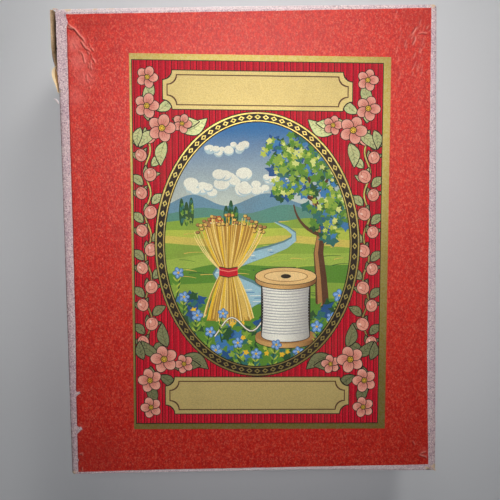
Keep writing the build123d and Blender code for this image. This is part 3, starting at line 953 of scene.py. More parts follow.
def red_sheet():
    """The red sheet: its upper face as a grid that is finer where it is creased,
    ragged edges, and an underside that follows the boards."""
    s = spaced(np.array([0, 0.095, 0.89, 1]), [0.0016, 0.0092, 0.0019])
    t = spaced(np.array([0, 0.20, 0.80, 1]), [0.0019, 0.0075, 0.0016])
    s, t = np.meshgrid(s, t, indexing="ij")
    y = (2 * t - 1) * HALF_Y
    x = along_edge(SHEET_LEFT, y) * (1 - s) + along_edge(SHEET_RIGHT, y) * s
    y = along_edge(SHEET_FRONT, x) * (1 - t) + along_edge(SHEET_BACK, x) * t
    reach = 10.0
    near_left, near_right = np.exp(-(x - x[:1]) / reach), np.exp(-(x[-1:] - x) / reach)
    near_front, near_back = np.exp(-(y - y[:, :1]) / reach), np.exp(-(y[:, -1:] - y) / reach)
    x = x + near_left * 0.2 * lumps(y, 0, 5, 121, 4) + near_right * 0.16 * lumps(y, 0, 5, 122, 4)
    y = y + near_front * 0.14 * lumps(x, 0, 5, 123, 4) + near_back * 0.14 * lumps(x, 0, 5, 124, 4)
    for low, deepest, high, depth in NICKS:
        bite = np.interp(y, [low, deepest, high], [0, depth, 0])
        x = x + bite * np.exp(-(x - x[:1]) / 2.5)
    z, rub_and_highlight, fold = sheet_height(x, y)
    edge = np.minimum(np.minimum(x - x[:1], x[-1:] - x), np.minimum(y - y[:, :1], y[:, -1:] - y))
    z = z - 0.06 * np.exp(-edge / 0.3)
    top = np.stack([x, y, z], axis=2)
    rows, cols = x.shape
    points, faces = top.reshape(-1, 3), []
    for i in range(rows - 1):
        for j in range(cols - 1):
            faces.append((i * cols + j, (i + 1) * cols + j, (i + 1) * cols + j + 1, i * cols + j + 1))
    rim = [i * cols for i in range(rows)] + [(rows - 1) * cols + j for j in range(1, cols)]
    rim += [i * cols + cols - 1 for i in range(rows - 2, -1, -1)] + list(range(cols - 2, 0, -1))
    outline = points[rim]
    tucked = np.clip(outline[:, :2], [-OPEN_X, -OPEN_Y], [OPEN_X, OPEN_Y])
    rings = [
        np.column_stack([outline[:, :2], np.full(len(rim), FLANGE_TOP)]),
        np.column_stack([tucked, np.full(len(rim), FLANGE_TOP)]),
        np.column_stack([tucked, np.full(len(rim), FLANGE_TOP - PAPER)]),
    ]
    before = rim
    for number, ring in enumerate(rings):
        start = len(points)
        points = np.concatenate([points, ring])
        after = list(range(start, start + len(rim)))
        for k in range(len(rim)):
            m = (k + 1) % len(rim)
            faces.append((before[k], before[m], after[m], after[k]))
        before = after
    faces.append(tuple(before))
    # Darker red in patches, painted shade at the front corners and sides
    darker_red_and_shade = wear_near(x, y, DARKER_RED_AND_SHADE)
    # Painted shade line along the sheet's left edge
    fold = np.maximum(fold, 0.6 * np.exp(-((x - x[:1] - 0.15) / 0.45) ** 2) * ramp(118 - y, 0, 8))
    ragged = np.exp(-edge / 0.3) * (0.30 + 0.34 * lumps(x, y, 6, 125, 3))
    fields = {"fade_and_highlight": wear_near(x, y, FADED_AND_HIGHLIGHT), "darker_red_and_shade": darker_red_and_shade, "rub_and_highlight": rub_and_highlight, "fold": fold, "wear": ragged}
    below = np.zeros(len(points) - rows * cols)
    return points, faces, {name: np.concatenate([value.ravel(), below]) for name, value in fields.items()}


# Small torn pieces

def scrap(name, root, along, across, lift, seed, wear=0.7):
    """A small torn flake of paper: an uneven pointed patch that rises from its root
    to its tip. along is its direction and length, across its width."""
    x0, y0, z0 = root
    dx, dy = along
    length = hypot(dx, dy)
    ux, uy = dx / length, dy / length
    s, t = np.meshgrid(np.linspace(0, 1, 12), np.linspace(-1, 1, 9), indexing="ij")
    half = across / 2 * (1 - 0.75 * s ** 1.6) * (1 + 0.28 * lumps(s * 9, t, 1.6, seed, 2))
    a = s * length * (1 + 0.12 * lumps(t * 5, 0, 1.5, seed + 1))
    z = z0 + lift * s ** 1.5 + 0.08 * across * (1 - t ** 2) * s
    outer = np.stack([x0 + a * ux - half * t * uy, y0 + a * uy + half * t * ux, z], axis=2)
    inner = outer - np.array([0, 0, 0.12])
    points, faces = shell(outer, inner)
    edge = np.maximum(np.abs(t) ** 3, s ** 3)
    values = both_sides(wear * edge + 0.25 * wear)
    return make_piece(name, points, faces, GRANITE, "lid", {"wear": values})


def torn_curl(name):
    """The strip of paper torn off along the left edge: a crescent that bulges from
    the wall, hollow, with a broad pale rolled rim and painted shade in its hollow."""
    s, t = np.meshgrid(np.linspace(0, 1, 46), np.linspace(0, 1, 19), indexing="ij")
    bulge = np.sin(pi * s ** 1.9) ** 0.75
    reach = (0.3 + 2.35 * bulge) * (1 + 0.05 * lumps(s * 20, 0, 2.5, 131, 2))
    x = TORN_EDGE_X - 0.5 * s - reach * t
    y = 81.9 + 13.9 * s + 0.5 * (t - 0.5) * (1 - 2 * s)
    hollow = FLANGE_TOP - 1.4 - 0.6 * bulge
    z = hollow + (1.9 + 0.7 * bulge) * t ** 1.5 - 0.35 * ramp(t, 0.85, 1)
    z = z + 0.10 * lumps(s * 30, t * 3, 2.2, 132, 3)
    outer = np.stack([x, y, z], axis=2)
    inner = outer + np.stack([-0.16 * (0.3 + t), 0 * t, -0.2 * (1.15 - t)], axis=2)
    points, faces = shell(outer, inner)
    rim = ramp(t, 0.50, 0.60) * (0.9 + 0.3 * lumps(s * 18, t * 4, 1.5, 133, 2))
    rim = np.maximum(rim, np.maximum(ramp(s, 0.95, 1), 1 - ramp(s, 0, 0.05)))
    streaks = 0.35 * np.maximum(lumps(s * 3, t * 8, 0.8, 134), 0)
    # Painted shade in the hollow and at its upper end, with darker streaks
    shade = (1 - ramp(t, 0.0, 0.38)) * 0.8 + streaks + 0.8 * ramp(s, 0.75, 0.95) * (t < 0.45)
    fields = {"wear": both_sides(rim), "grime_and_shade": both_sides(np.minimum(shade, 1))}
    return make_piece(name, points, faces, TORN, "lid", fields, 50)


def fibre(name, route, radius):
    """A loose torn fibre: a thin tapering tube along a curved route."""
    route = np.array(route, float)
    t = np.linspace(0, len(route) - 1, 26)
    stops = np.arange(len(route))
    smooth = np.stack([np.interp(t, stops, route[:, k]) for k in range(3)], axis=1)
    for _ in range(6):
        smooth[1:-1] = (smooth[:-2] + 2 * smooth[1:-1] + smooth[2:]) / 4
    around = np.linspace(0, tau, 6, endpoint=False)
    thin = radius * (0.35 + 0.65 * np.sin(np.linspace(0.1, pi - 0.1, len(smooth))))[:, None]
    ring_x = smooth[:, None, 0] + thin * np.cos(around)
    ring_z = smooth[:, None, 2] + thin * np.sin(around)
    rings = np.stack([ring_x, np.broadcast_to(smooth[:, None, 1], ring_x.shape), ring_z], axis=2)
    points = rings.reshape(-1, 3)
    clean = {"pale": np.ones(len(points))}
    return make_piece(name, points, tube(rings), GRANITE, "lid", clean, 80)


# The label's print

# Inks: red, green, blue and how metallic
BLACK = (0.020, 0.014, 0.012, 0.0)
GOLD = (0.62, 0.46, 0.11, 1.0)
CREAM = (0.70, 0.53, 0.20, 0.40)
CRIMSON = (0.60, 0.004, 0.024, 0.0)
MAROON = (0.10, 0.003, 0.008, 0.0)
BAND_SHINE = (0.80, 0.2, 0.15, 0.0)
ROSE = (0.74, 0.31, 0.23, 0.0)
ROSE_DARK = (0.50, 0.14, 0.10, 0.0)
ROSE_SHINE = (0.85, 0.55, 0.45, 0.0)
PETAL_MIDDLE = (0.62, 0.20, 0.15, 0.0)
PETAL_RIM = (0.80, 0.38, 0.29, 0.0)
OLIVE = (0.42, 0.46, 0.22, 0.9)
OLIVE_VEIN = (0.45 * 0.42, 0.45 * 0.46, 0.45 * 0.22, 0.9)
WHITE = (0.78, 0.78, 0.68, 0.0)
CLOUD = (0.80, 0.79, 0.66, 0.0)
CLOUD_SHADE = (0.42, 0.55, 0.58, 0.0)
SKY_LOW = (0.62, 0.66, 0.52, 0.0)
SKY_HIGH = (0.03, 0.15, 0.36, 0.0)
DEEP_BLUE = (0.018, 0.085, 0.25, 0.0)
BLUE = (0.05, 0.19, 0.42, 0.0)
PALE_BLUE = (0.32, 0.52, 0.60, 0.0)
FLAX_BLUE = (0.16, 0.34, 0.66, 0.0)
FLAX_VEIN = (0.5, 0.62, 0.8, 0.0)
RIVER_BANK = (0.10, 0.22, 0.24, 0.0)
FAR_HILL = (0.14, 0.27, 0.36, 0.0)
NEAR_HILL = (0.10, 0.26, 0.20, 0.0)
SEA_GREEN = (0.03, 0.15, 0.13, 0.0)
DARK_GREEN = (0.022, 0.085, 0.03, 0.0)
GREEN = (0.10, 0.25, 0.03, 0.0)
FIELD_GREEN = (0.24, 0.38, 0.05, 0.0)
MEADOW = (0.33, 0.46, 0.07, 0.0)
LIME = (0.45, 0.52, 0.07, 0.0)
SUNLIT_GREEN = (0.62, 0.66, 0.20, 0.0)
YELLOW = (0.80, 0.50, 0.03, 0.0)
STRAW_YELLOW = (0.72, 0.47, 0.10, 0.0)
PALE_STRAW = (0.86, 0.66, 0.24, 0.0)
RIPE_FIELD = (0.62, 0.50, 0.10, 0.0)
OCHRE = (0.42, 0.21, 0.03, 0.0)
BROWN = (0.10, 0.04, 0.02, 0.0)
WOOD = (0.42, 0.20, 0.07, 0.0)
WOOD_LIGHT = (0.72, 0.42, 0.15, 0.0)
WOOD_SHADE = (0.22, 0.09, 0.03, 0.0)
REEL_RIM = (0.78, 0.50, 0.20, 0.0)
REEL_FACE = (0.84, 0.58, 0.26, 0.0)
THREAD_LIGHT = (0.86, 0.84, 0.74, 0.0)
THREAD_SHADE = (0.34, 0.32, 0.30, 0.0)
THREAD_LINE = (0.33, 0.33, 0.34, 0.0)
COTTAGE = (0.70, 0.58, 0.36, 0.0)
ROOF = (0.52, 0.09, 0.03, 0.0)
PAPER_EDGE = (0.62, 0.52, 0.34, 0.0)

# The frame inside the gold border, the medallion and the blank panels
FRAME_X, FRAME_Y = -1.35, -0.1
FRAME_HALF_X, FRAME_HALF_Y = 66.0, 97.1
OVAL_X, OVAL_Y = 50.0, 66.0
PLAQUE_Y, PLAQUE_HALF_X, PLAQUE_HALF_Y = 82.0, 50.0, 10.0
# How much further than a shape its dark key line reaches, and the picture's lower limit
KEY_LINE = 0.42
PICTURE_FOOT = -75


def turned(x, y, way, from_x=0.0, from_y=0.0):
    """A point turned by an angle and then moved."""
    return from_x + x * cos(way) - y * sin(way), from_y + x * sin(way) + y * cos(way)


def ellipse(x, y, half_x, half_y=None, count=20, way=0.0):
    half_y = half_x if half_y is None else half_y
    angles = [tau * i / count for i in range(count)]
    return [turned(half_x * cos(a), half_y * sin(a), way, x, y) for a in angles]


def medallion(grow):
    """The medallion's oval, grown all round."""
    return ellipse(FRAME_X, FRAME_Y, OVAL_X + grow, OVAL_Y + grow, 120)


def rectangle(x_from, y_from, x_to, y_to):
    return [(x_from, y_from), (x_to, y_from), (x_to, y_to), (x_from, y_to)]


def leaf(x, y, length, width, way, bend=0.12, grow=0.0, count=8):
    """A pointed leaf's outline from its stalk, grown all round by grow."""
    points = []
    for side in (1, -1):
        for i in range(count):
            t = i / count if side > 0 else 1 - i / count
            half = width / 2 * sin(pi * t ** 0.85) + grow * (1 if 0 < t < 1 else 0)
            a = t * length + grow * 1.6 * (2 * t - 1)
            points.append(turned(a, side * half + bend * length * sin(pi * t), way, x, y))
    return points


def bow(x1, y1, x2, y2, bend, count=7):
    """Points of a bowed line between two places."""
    points = []
    for i in range(count + 1):
        t = i / count
        off = bend * 4 * t * (1 - t)
        points.append((x1 + (x2 - x1) * t - (y2 - y1) * off, y1 + (y2 - y1) * t + (x2 - x1) * off))
    return points


def stroke(route, width, end_width=None):
    """A drawn line's outline, with its own widths at its start and end."""
    end_width = width if end_width is None else end_width
    left, right = [], []
    last = len(route) - 1
    for i, (x, y) in enumerate(route):
        before, after = route[max(i - 1, 0)], route[min(i + 1, last)]
        dx, dy = after[0] - before[0], after[1] - before[1]
        half = (width + (end_width - width) * i / last) / 2 / max(hypot(dx, dy), 1e-9)
        left.append((x - dy * half, y + dx * half))
        right.append((x + dy * half, y - dx * half))
    return left + right[::-1]


def splotch(x, y, size, draw, points=11, flat=1.0):
    """A ragged dab of foliage."""
    start = draw.uniform(0, tau)
    outline = []
    for i in range(points):
        a = start + tau * i / points
        r = size * (1.0 if i % 2 else 0.58) * draw.uniform(0.8, 1.2)
        outline.append((x + r * cos(a), y + flat * r * sin(a)))
    return outline


def blend(low, high, t):
    """An ink between two others."""
    return tuple(a + (b - a) * t for a, b in zip(low, high))


def faded(low, high, y_from, y_to):
    """An ink that changes evenly from low to high up the label."""
    return lambda x, y: blend(low, high, min(max((y - y_from) / (y_to - y_from), 0), 1))


def shaded(near, far, distance, reach, power):
    """An ink that changes from near to far with a distance, slowly at first."""
    return lambda x, y: blend(near, far, min(distance(x, y) / reach, 1) ** power)


class Print:
    """Flat shapes in label millimetres, each printed over those before it. While a
    window is set, what is laid shows only inside that earlier shape."""

    def __init__(self):
        self.points, self.faces, self.inks, self.windows = [], [], [], []
        self.window = None

    def lay(self, outline, ink):
        area = sum(a[0] * b[1] - b[0] * a[1] for a, b in zip(outline, outline[1:] + outline[:1]))
        outline = outline if area > 0 else outline[::-1]
        start = len(self.points)
        self.points += [Vector(point) for point in outline]
        self.faces.append(list(range(start, start + len(outline))))
        self.inks.append(ink)
        self.windows.append(self.window)
        return len(self.faces) - 1

    def owner(self, origins):
        """The topmost of the shapes that cover a place."""
        for shape in sorted(origins, reverse=True):
            if self.windows[shape] is None or self.windows[shape] in origins:
                return shape
        return None


def pinstripes(art):
    """Dark upright lines on the crimson, thick ones between thin pairs, above and
    below the medallion."""
    for k in range(40):
        for off, width in ((0.6, 0.5), (1.6, 0.24), (2.3, 0.24)):
            x = 3.3 * k - FRAME_HALF_X + off
            inner = OVAL_Y * (max(1 - (max(abs(x), abs(x + width)) / OVAL_X) ** 2, 0)) ** 0.5
            for side in (-1, 1):
                near, far = FRAME_Y + side * inner, FRAME_Y + side * FRAME_HALF_Y
                low, high = min(near, far), max(near, far)
                art.lay(rectangle(FRAME_X + x, low, FRAME_X + x + width, high), MAROON)


def leaf_with_veins(art, x, y, length, width, way, bend=0.1):
    """An olive leaf with a dark key line and veins."""
    art.lay(leaf(x, y, length, width, way, bend, KEY_LINE), BLACK)
    art.lay(leaf(x, y, length, width, way, bend), OLIVE)
    tip = turned(length * 0.93, 0, way, x, y)
    art.lay(stroke(bow(x, y, *tip, bend * 0.8), 0.5, 0.25), OLIVE_VEIN)
    for t in (0.25, 0.42, 0.6, 0.76):
        middle = bend * length * sin(pi * t)
        root = turned(t * length, middle, way, x, y)
        reach = width * 0.36 * sin(pi * t ** 0.85)
        for side in (1, -1):
            end = turned(t * length + reach * 0.9, middle + side * reach, way, x, y)
            art.lay(stroke([root, end], 0.36, 0.2), OLIVE_VEIN)


def rosette(art, x, y, size, way):
    """A five-petalled rose with key lines and a gold middle."""
    petal_ink = shaded(PETAL_MIDDLE, PETAL_RIM, lambda px, py: hypot(px - x, py - y), size, 1.5)
    for k in range(5):
        a = way + tau * k / 5
        middle = turned(0.56 * size, 0, a, x, y)
        for grow, ink in ((0.4, BLACK), (0, petal_ink)):
            art.lay(ellipse(*middle, 0.46 * size + grow, 0.40 * size + grow, 18, a), ink)
        for side in (-0.22, 0.0, 0.22):
            start = turned(0.26 * size, 0, a + side, x, y)
            end = turned(0.66 * size, 0, a + side * 1.3, x, y)
            art.lay(stroke([start, end], 0.34, 0.16), ROSE_DARK)
    art.lay(ellipse(x, y, 0.27 * size, None, 16), BLACK)
    art.lay(ellipse(x, y, 0.21 * size, None, 14), YELLOW[:3] + (0.3,))
    for k in range(6):
        dot = turned(0.13 * size, 0, way + tau * k / 6, x, y)
        art.lay(ellipse(*dot, 0.035 * size + 0.1, None, 6), BROWN)


def bud(art, x, y, size, way):
    """A round bud in a small cup of leaves."""
    def at(along, across=0.0):
        return turned(size * along, size * across, way, x, y)
    for side in (-0.7, 0.7):
        leaf_with_veins(art, *at(-0.6), size * 1.9, size * 0.8, way + side)
    for grow, ink in ((KEY_LINE, BLACK), (0, ROSE)):
        art.lay(ellipse(x, y, size + grow, size * 0.92 + grow, 20, way), ink)
    for start, end, bend, width in ((-0.7, 0.95, 0.25, 0.4), (-0.5, 0.8, -0.4, 0.3)):
        art.lay(stroke(bow(*at(start), *at(end), bend), width), ROSE_DARK)
    art.lay(ellipse(*at(0.2, 0.35), size * 0.26, size * 0.16, 10, way + 0.5), ROSE_SHINE)


def garland(art):
    """Stems, leaves and buds up both sides, and clusters in the corners."""
    for side in (-1, 1):
        stem = [(FRAME_X + side * (58.6 + 1.6 * sin(i * 0.55)), -58 + i * 2.0) for i in range(59)]
        art.lay(stroke(stem, 1.5), BLACK)
        art.lay(stroke(stem, 0.8), GOLD)
        for k in range(12):
            y = FRAME_Y - 55.0 + k * 10.0
            out = 1 if k % 2 else -1
            leaf_x = FRAME_X + side * (58.8 + out * 2.4)
            way = pi / 2 - side * out * 0.95
            leaf_with_veins(art, leaf_x, y - 3, 8.2, 4.4, way, 0.1 * side * out)
            if k % 2:
                bud(art, FRAME_X + side * 57.2, y + 2.4, 3.5, pi / 2 + side * 0.5)
            else:
                bud(art, FRAME_X + side * 62.0, y + 2.6, 3.2, pi / 2 - side * 0.3)
    for side_x in (-1, 1):
        for side_y in (-1, 1):
            corner_cluster(art, side_x, side_y)


def corner_cluster(art, side_x, side_y):
    """Four roses with leaves between the oval and a corner."""
    def place(x, y):
        return FRAME_X + side_x * x, FRAME_Y + side_y * y

    def way(x, y):
        return atan2(side_y * y, side_x * x)
    for x, y, length, dx, dy in (
        (40, 60, 15, -1.0, 0.55), (45, 67, 14, -1.0, -0.1), (58, 66, 13, 0.25, 1.0),
        (49, 55, 13, 0.2, -1.0), (60, 76, 12, -0.3, 1.0), (54, 60, 12, 1.0, -0.9),
        (62, 62, 10, 0.2, -1.0), (53, 71, 11, -1.0, 0.9),
    ):
        bend = 0.1 * side_x * side_y
        leaf_with_veins(art, *place(x, y), length, length * 0.46, way(dx, dy), bend)
    for x, y, size in ((58.2, 88.5, 5.6), (40.0, 64.5, 5.0), (50.8, 62.0, 7.2), (58.6, 73.6, 6.4)):
        rosette(art, *place(x, y), size, way(x, y) + 0.3)


def plaque(art, y):
    """A blank notched panel with a double line."""
    def notched(inset, notch=5.0):
        corners = []
        half_x, half_y = PLAQUE_HALF_X - inset, PLAQUE_HALF_Y - inset
        for side_x, side_y in ((1, -1), (1, 1), (-1, 1), (-1, -1)):
            steps = range(7) if side_x * side_y < 0 else range(6, -1, -1)
            for i in steps:
                a = radians(15 * i)
                dx, dy = half_x - notch * cos(a), half_y - notch * sin(a)
                corners.append((FRAME_X + side_x * dx, y + side_y * dy))
        return corners
    for inset, ink in ((-0.5, BLACK), (0, CREAM), (1.9, BROWN), (2.5, CREAM)):
        art.lay(notched(inset), ink)


def ring(art):
    """The medallion's dark ring with gold lines and a gold lattice of lozenges."""
    for grow, ink in ((5.4, BLACK), (4.9, GOLD), (4.1, BLACK)):
        art.lay(medallion(grow), ink)
    count, middle = 76, 2.4
    for k in range(count):
        a = tau * k / count
        x, y = FRAME_X + (OVAL_X + middle) * cos(a), FRAME_Y + (OVAL_Y + middle) * sin(a)
        way = atan2((OVAL_X + middle) * sin(a), (OVAL_Y + middle) * cos(a))
        for wide, long, ink in ((1.3, 1.75, GOLD), (0.6, 0.85, BLACK)):
            corners = ((wide, 0), (0, long), (-wide, 0), (0, -long))
            art.lay([turned(u, v, way, x, y) for u, v in corners], ink)
    for grow, ink in ((0.7, GOLD), (0.15, BLACK)):
        art.lay(medallion(grow), ink)


def hill(art, points, ink):
    """Land below a smooth skyline through the points."""
    skyline = []
    for (ax, ay), (bx, by) in zip(points, points[1:]):
        for i in range(6):
            t = i / 6
            skyline.append((ax + (bx - ax) * t, ay + (by - ay) * (t * t * (3 - 2 * t))))
    skyline.append(points[-1])
    art.lay(skyline + [(points[-1][0], PICTURE_FOOT), (points[0][0], PICTURE_FOOT)], ink)


def clouds(art):
    """Heaps of cloud, with blue-grey undersides."""
    draw = random.Random(11)
    heaps = ((-30, 30, 7.5), (-17, 35, 8.5), (-4, 31, 7), (8, 36, 5.5), (-24, 50, 4.5), (-12, 52, 5))
    for x, y, size in heaps:
        for _ in range(9):
            px, py = x + draw.uniform(-1, 1) * size, y + draw.uniform(-0.3, 0.4) * size
            r = size * draw.uniform(0.3, 0.55)
            art.lay(ellipse(px, py - 0.9, r, r * 0.75, 14), CLOUD_SHADE)
            art.lay(ellipse(px, py, r, r * 0.75, 14), CLOUD)


def land(art):
    """Far hills, fields in strips, a winding river and cottages among poplars."""
    draw = random.Random(12)
    hill(art, [(-55, 20), (-36, 27), (-18, 21), (4, 28), (26, 22), (52, 27)], FAR_HILL)
    hill(art, [(-55, 16), (-30, 20), (-8, 17), (14, 22), (34, 17), (52, 20)], NEAR_HILL)
    hill(art, [(-55, 12), (-26, 15), (2, 12), (28, 15), (52, 11)], FIELD_GREEN)
    for level, ink in ((8, LIME), (4, RIPE_FIELD), (0, FIELD_GREEN), (-6, MEADOW), (-13, GREEN),
                       (-21, FIELD_GREEN), (-30, GREEN)):
        slope = draw.uniform(-3, 3)
        left, right = level + slope, level - slope
        hill(art, [(-55, left), (-20, right), (15, level + 1.5), (52, right)], ink)
    for _ in range(46):
        x, y = draw.uniform(-46, 40), draw.uniform(-28, 13)
        length = draw.uniform(5, 13)
        ink = draw.choice((LIME, GREEN, STRAW_YELLOW, DARK_GREEN, FIELD_GREEN))
        art.lay(stroke(bow(x, y, x + length, y + draw.uniform(-1.2, 1.2), 0.04, 4), 0.45, 0.2), ink)
    river(art)
    for x, y, wide in ((-27, 9, 7), (-19, 8, 5)):
        cottage(art, x, y, wide)
    for k in range(6):
        x = -42 + k * 2.6 + (16 if k > 2 else 0)
        tall = draw.uniform(11, 16)
        art.lay(ellipse(x, 10 + tall / 2, 1.4, tall / 2, 16), DARK_GREEN)
        for _ in range(7):
            dab = splotch(x + draw.uniform(-0.6, 0.8), 11 + draw.random() * (tall - 3), 0.9, draw, 9, 1.6)
            art.lay(dab, draw.choice((GREEN, SEA_GREEN, FIELD_GREEN)))


def river(art):
    """A river that winds and widens towards the foot, with glints."""
    course = [(8 + 15 * sin(i * 0.55) - i * 1.6, 13 - i * 3.1) for i in range(15)]
    art.lay(stroke(course, 0.8, 14.0), RIVER_BANK)
    art.lay(stroke([(x, y - 0.5) for x, y in course], 0.4, 11.5), PALE_BLUE)
    for x, y in course[5:]:
        wide = (13 - y) * 0.1
        art.lay(stroke([(x - wide, y), (x + wide * 0.6, y + 0.2)], 0.4), WHITE)
        art.lay(stroke([(x - wide * 0.4, y - 1.3), (x + wide, y - 1.2)], 0.35), BLUE)


def cottage(art, x, y, wide):
    """A low cottage with a window and a door."""
    eaves, ridge = y + 3.4, y + 6.6
    art.lay(rectangle(x, y, x + wide, y + 3.6), COTTAGE)
    roof = [(x - 0.8, eaves), (x + wide + 0.8, eaves), (x + wide - 1.2, ridge), (x + 1.2, ridge)]
    art.lay(roof, ROOF)
    art.lay(rectangle(x + 1.2, y + 1.0, x + 2.2, y + 2.4), BROWN)
    art.lay(rectangle(x + 3.2, y, x + 4.3, y + 2.6), BROWN)


def tree(art):
    """A broad tree on the right with blue shade and sunlit leaves."""
    draw = random.Random(13)
    trunk = [(34, -34), (33, -18), (31.5, -4), (33, 8), (30, 22), (27, 34)]
    art.lay(stroke(trunk, 7.5, 2.0), BROWN)
    art.lay(stroke([(x - 1.2, y) for x, y in trunk], 2.6, 0.7), WOOD)
    for x1, y1, x2, y2, bend in (
        (32, 6, 18, 22, 0.15), (32, 12, 44, 28, -0.12), (30, 24, 14, 40, 0.1),
        (29, 28, 40, 46, -0.1), (27, 34, 24, 52, 0.05),
    ):
        art.lay(stroke(bow(x1, y1, x2, y2, bend), 2.2, 0.7), BROWN)
    heaps = ((36, 30, 14), (22, 40, 13), (38, 12, 9), (28, 52, 12), (12, 47, 9), (14, 30, 6), (43, 22, 9))
    for inks, size, count, lift in (
        ((DEEP_BLUE, SEA_GREEN, DARK_GREEN), 3.6, 16, 0.0),
        ((BLUE, DARK_GREEN, SEA_GREEN, GREEN), 2.8, 16, 0.0),
        ((GREEN, FIELD_GREEN, GREEN, BLUE), 2.3, 17, 1.5),
        ((LIME, FIELD_GREEN, SUNLIT_GREEN), 1.7, 15, 1.5),
    ):
        for x, y, reach in heaps:
            for _ in range(round(count * reach / 10)):
                a, r = draw.uniform(0, tau), reach * draw.random() ** 0.6
                px, py = x + r * cos(a) * 1.1 - lift, y + r * sin(a) + lift
                art.lay(splotch(px, py, size * draw.uniform(0.7, 1.25), draw), draw.choice(inks))


def thicket(art):
    """Dark growth along the foot of the picture."""
    draw = random.Random(14)
    for inks, size, count, high in (
        ((DEEP_BLUE, SEA_GREEN, DARK_GREEN), 4.4, 60, -32), ((BLUE, DARK_GREEN, GREEN), 3.2, 60, -34),
        ((GREEN, FIELD_GREEN, SEA_GREEN), 2.5, 60, -37), ((LIME, FIELD_GREEN, YELLOW), 1.7, 44, -36),
    ):
        for _ in range(count):
            x = draw.uniform(-48, 46)
            y = draw.uniform(-66, high - 6 * cos(x / 14))
            art.lay(splotch(x, y, size * draw.uniform(0.7, 1.2), draw), draw.choice(inks))


def sheaf(art, x, y):
    """A standing sheaf of ripe flax tied with a crimson band, with seed heads."""
    draw = random.Random(15)
    inks = (YELLOW, STRAW_YELLOW, OCHRE, STRAW_YELLOW, PALE_STRAW)
    spread = sorted((draw.uniform(-1, 1) for _ in range(64)), key=lambda s: -abs(s))
    foot, head = y - 27, y + 29
    art.lay(stroke([(x, foot), (x, y)], 24, 8), OCHRE)
    art.lay(stroke([(x, y), (x + 1, y + 25)], 8, 30), OCHRE)
    for s in spread:
        ink = draw.choice(inks)
        waist = x + s * 3.6
        low = (x + s * 13 + draw.uniform(-1, 1), foot + 3 * s * s + draw.uniform(-2, 1))
        high = (x + s * 18 + draw.uniform(-1, 2), head - 7 * s * s + draw.uniform(-4, 2))
        art.lay(stroke(bow(*low, waist, y, -0.04 * s, 4), 0.75, 0.6), ink)
        art.lay(stroke(bow(waist, y, *high, -0.06 * s, 5), 0.7, 0.4), ink)
        if draw.random() < 0.75:
            art.lay(ellipse(*high, 1.25, 1.0, 9), BROWN)
            pod = ellipse(high[0] - 0.15, high[1] + 0.15, 0.95, 0.75, 9)
            art.lay(pod, draw.choice((STRAW_YELLOW, WOOD)))
    for low, high, ink in ((-2.6, 2.6, BLACK), (-2.1, 2.1, CRIMSON), (0.5, 1.1, BAND_SHINE)):
        band = [(x - 5.0, y + low), (x, y + low - 1), (x + 5.0, y + low)]
        band += [(x + 5.0, y + high), (x, y + high - 1), (x - 5.0, y + high)]
        art.lay(band, ink)


def reel(art, x, y):
    """A wooden reel wound with white thread, standing, with its loose end trailing."""
    half, tall = 13.0, 15.0
    flange, outline = half + 3.4, half + 3.8

    def across(px, _):
        """How far sideways from the lit line."""
        return abs(px - x + 4)
    thread = shaded(THREAD_LIGHT, THREAD_SHADE, across, half + 4, 1.6)
    wood = shaded(WOOD_LIGHT, WOOD_SHADE, across, half + 6, 1.4)

    def disc(level, half_x, half_y, ink, count=32):
        art.lay(ellipse(x, level, half_x, half_y, count), ink)

    def block(low, high, half_x, ink):
        art.lay(rectangle(x - half_x, low, x + half_x, high), ink)
    trail = [(x - 12 - i * 1.9, y - 6 - 5 * sin(i * 0.5) - i * 0.45) for i in range(15)]
    art.lay(stroke(trail, 1.2), BROWN)
    art.lay(stroke(trail, 0.65), WHITE)
    base, top = y - tall, y + tall
    disc(base - 2.2, outline, 5.0, BLACK)
    disc(base - 2.2, flange, 4.6, wood)
    block(base - 2.2, base, flange, wood)
    disc(base, flange, 4.4, WOOD)
    disc(base, half + 0.4, 3.8, BLACK, 28)
    block(base, top, half + 0.4, BLACK)
    disc(base, half, 3.4, thread, 28)
    sides = [(1, -0.5), (1, 0), (1, 0.5), (1, 1), (-1, 1), (-1, 0.5), (-1, 0), (-1, -0.5)]
    winding = [(-1, -1), (1, -1)] + sides
    art.lay([(x + half * u * (0.93 + 0.07 * v * v), y + tall * v) for u, v in winding], thread)
    for k in range(19):
        level = base + 0.8 + k * 1.55
        sag = bow(x - half * 0.97, level + 1.1, x + half * 0.97, level + 1.5, -0.05, 8)
        art.lay(stroke(sag, 0.42), THREAD_LINE)
    for grow, ink in ((0.4, BLACK), (0.0, wood)):
        disc(top, flange + grow, 4.6 + grow, ink)
        block(top, top + 2.4, flange + grow, ink)
    for half_x, half_y, ink, count in (
        (outline, 5.0, BLACK, 32), (flange, 4.6, REEL_RIM, 32), (half - 1, 3.0, WOOD, 28),
        (half - 1.6, 2.6, REEL_FACE, 28), (2.8, 1.2, BLACK, 14),
    ):
        disc(top + 2.4, half_x, half_y, ink, count)


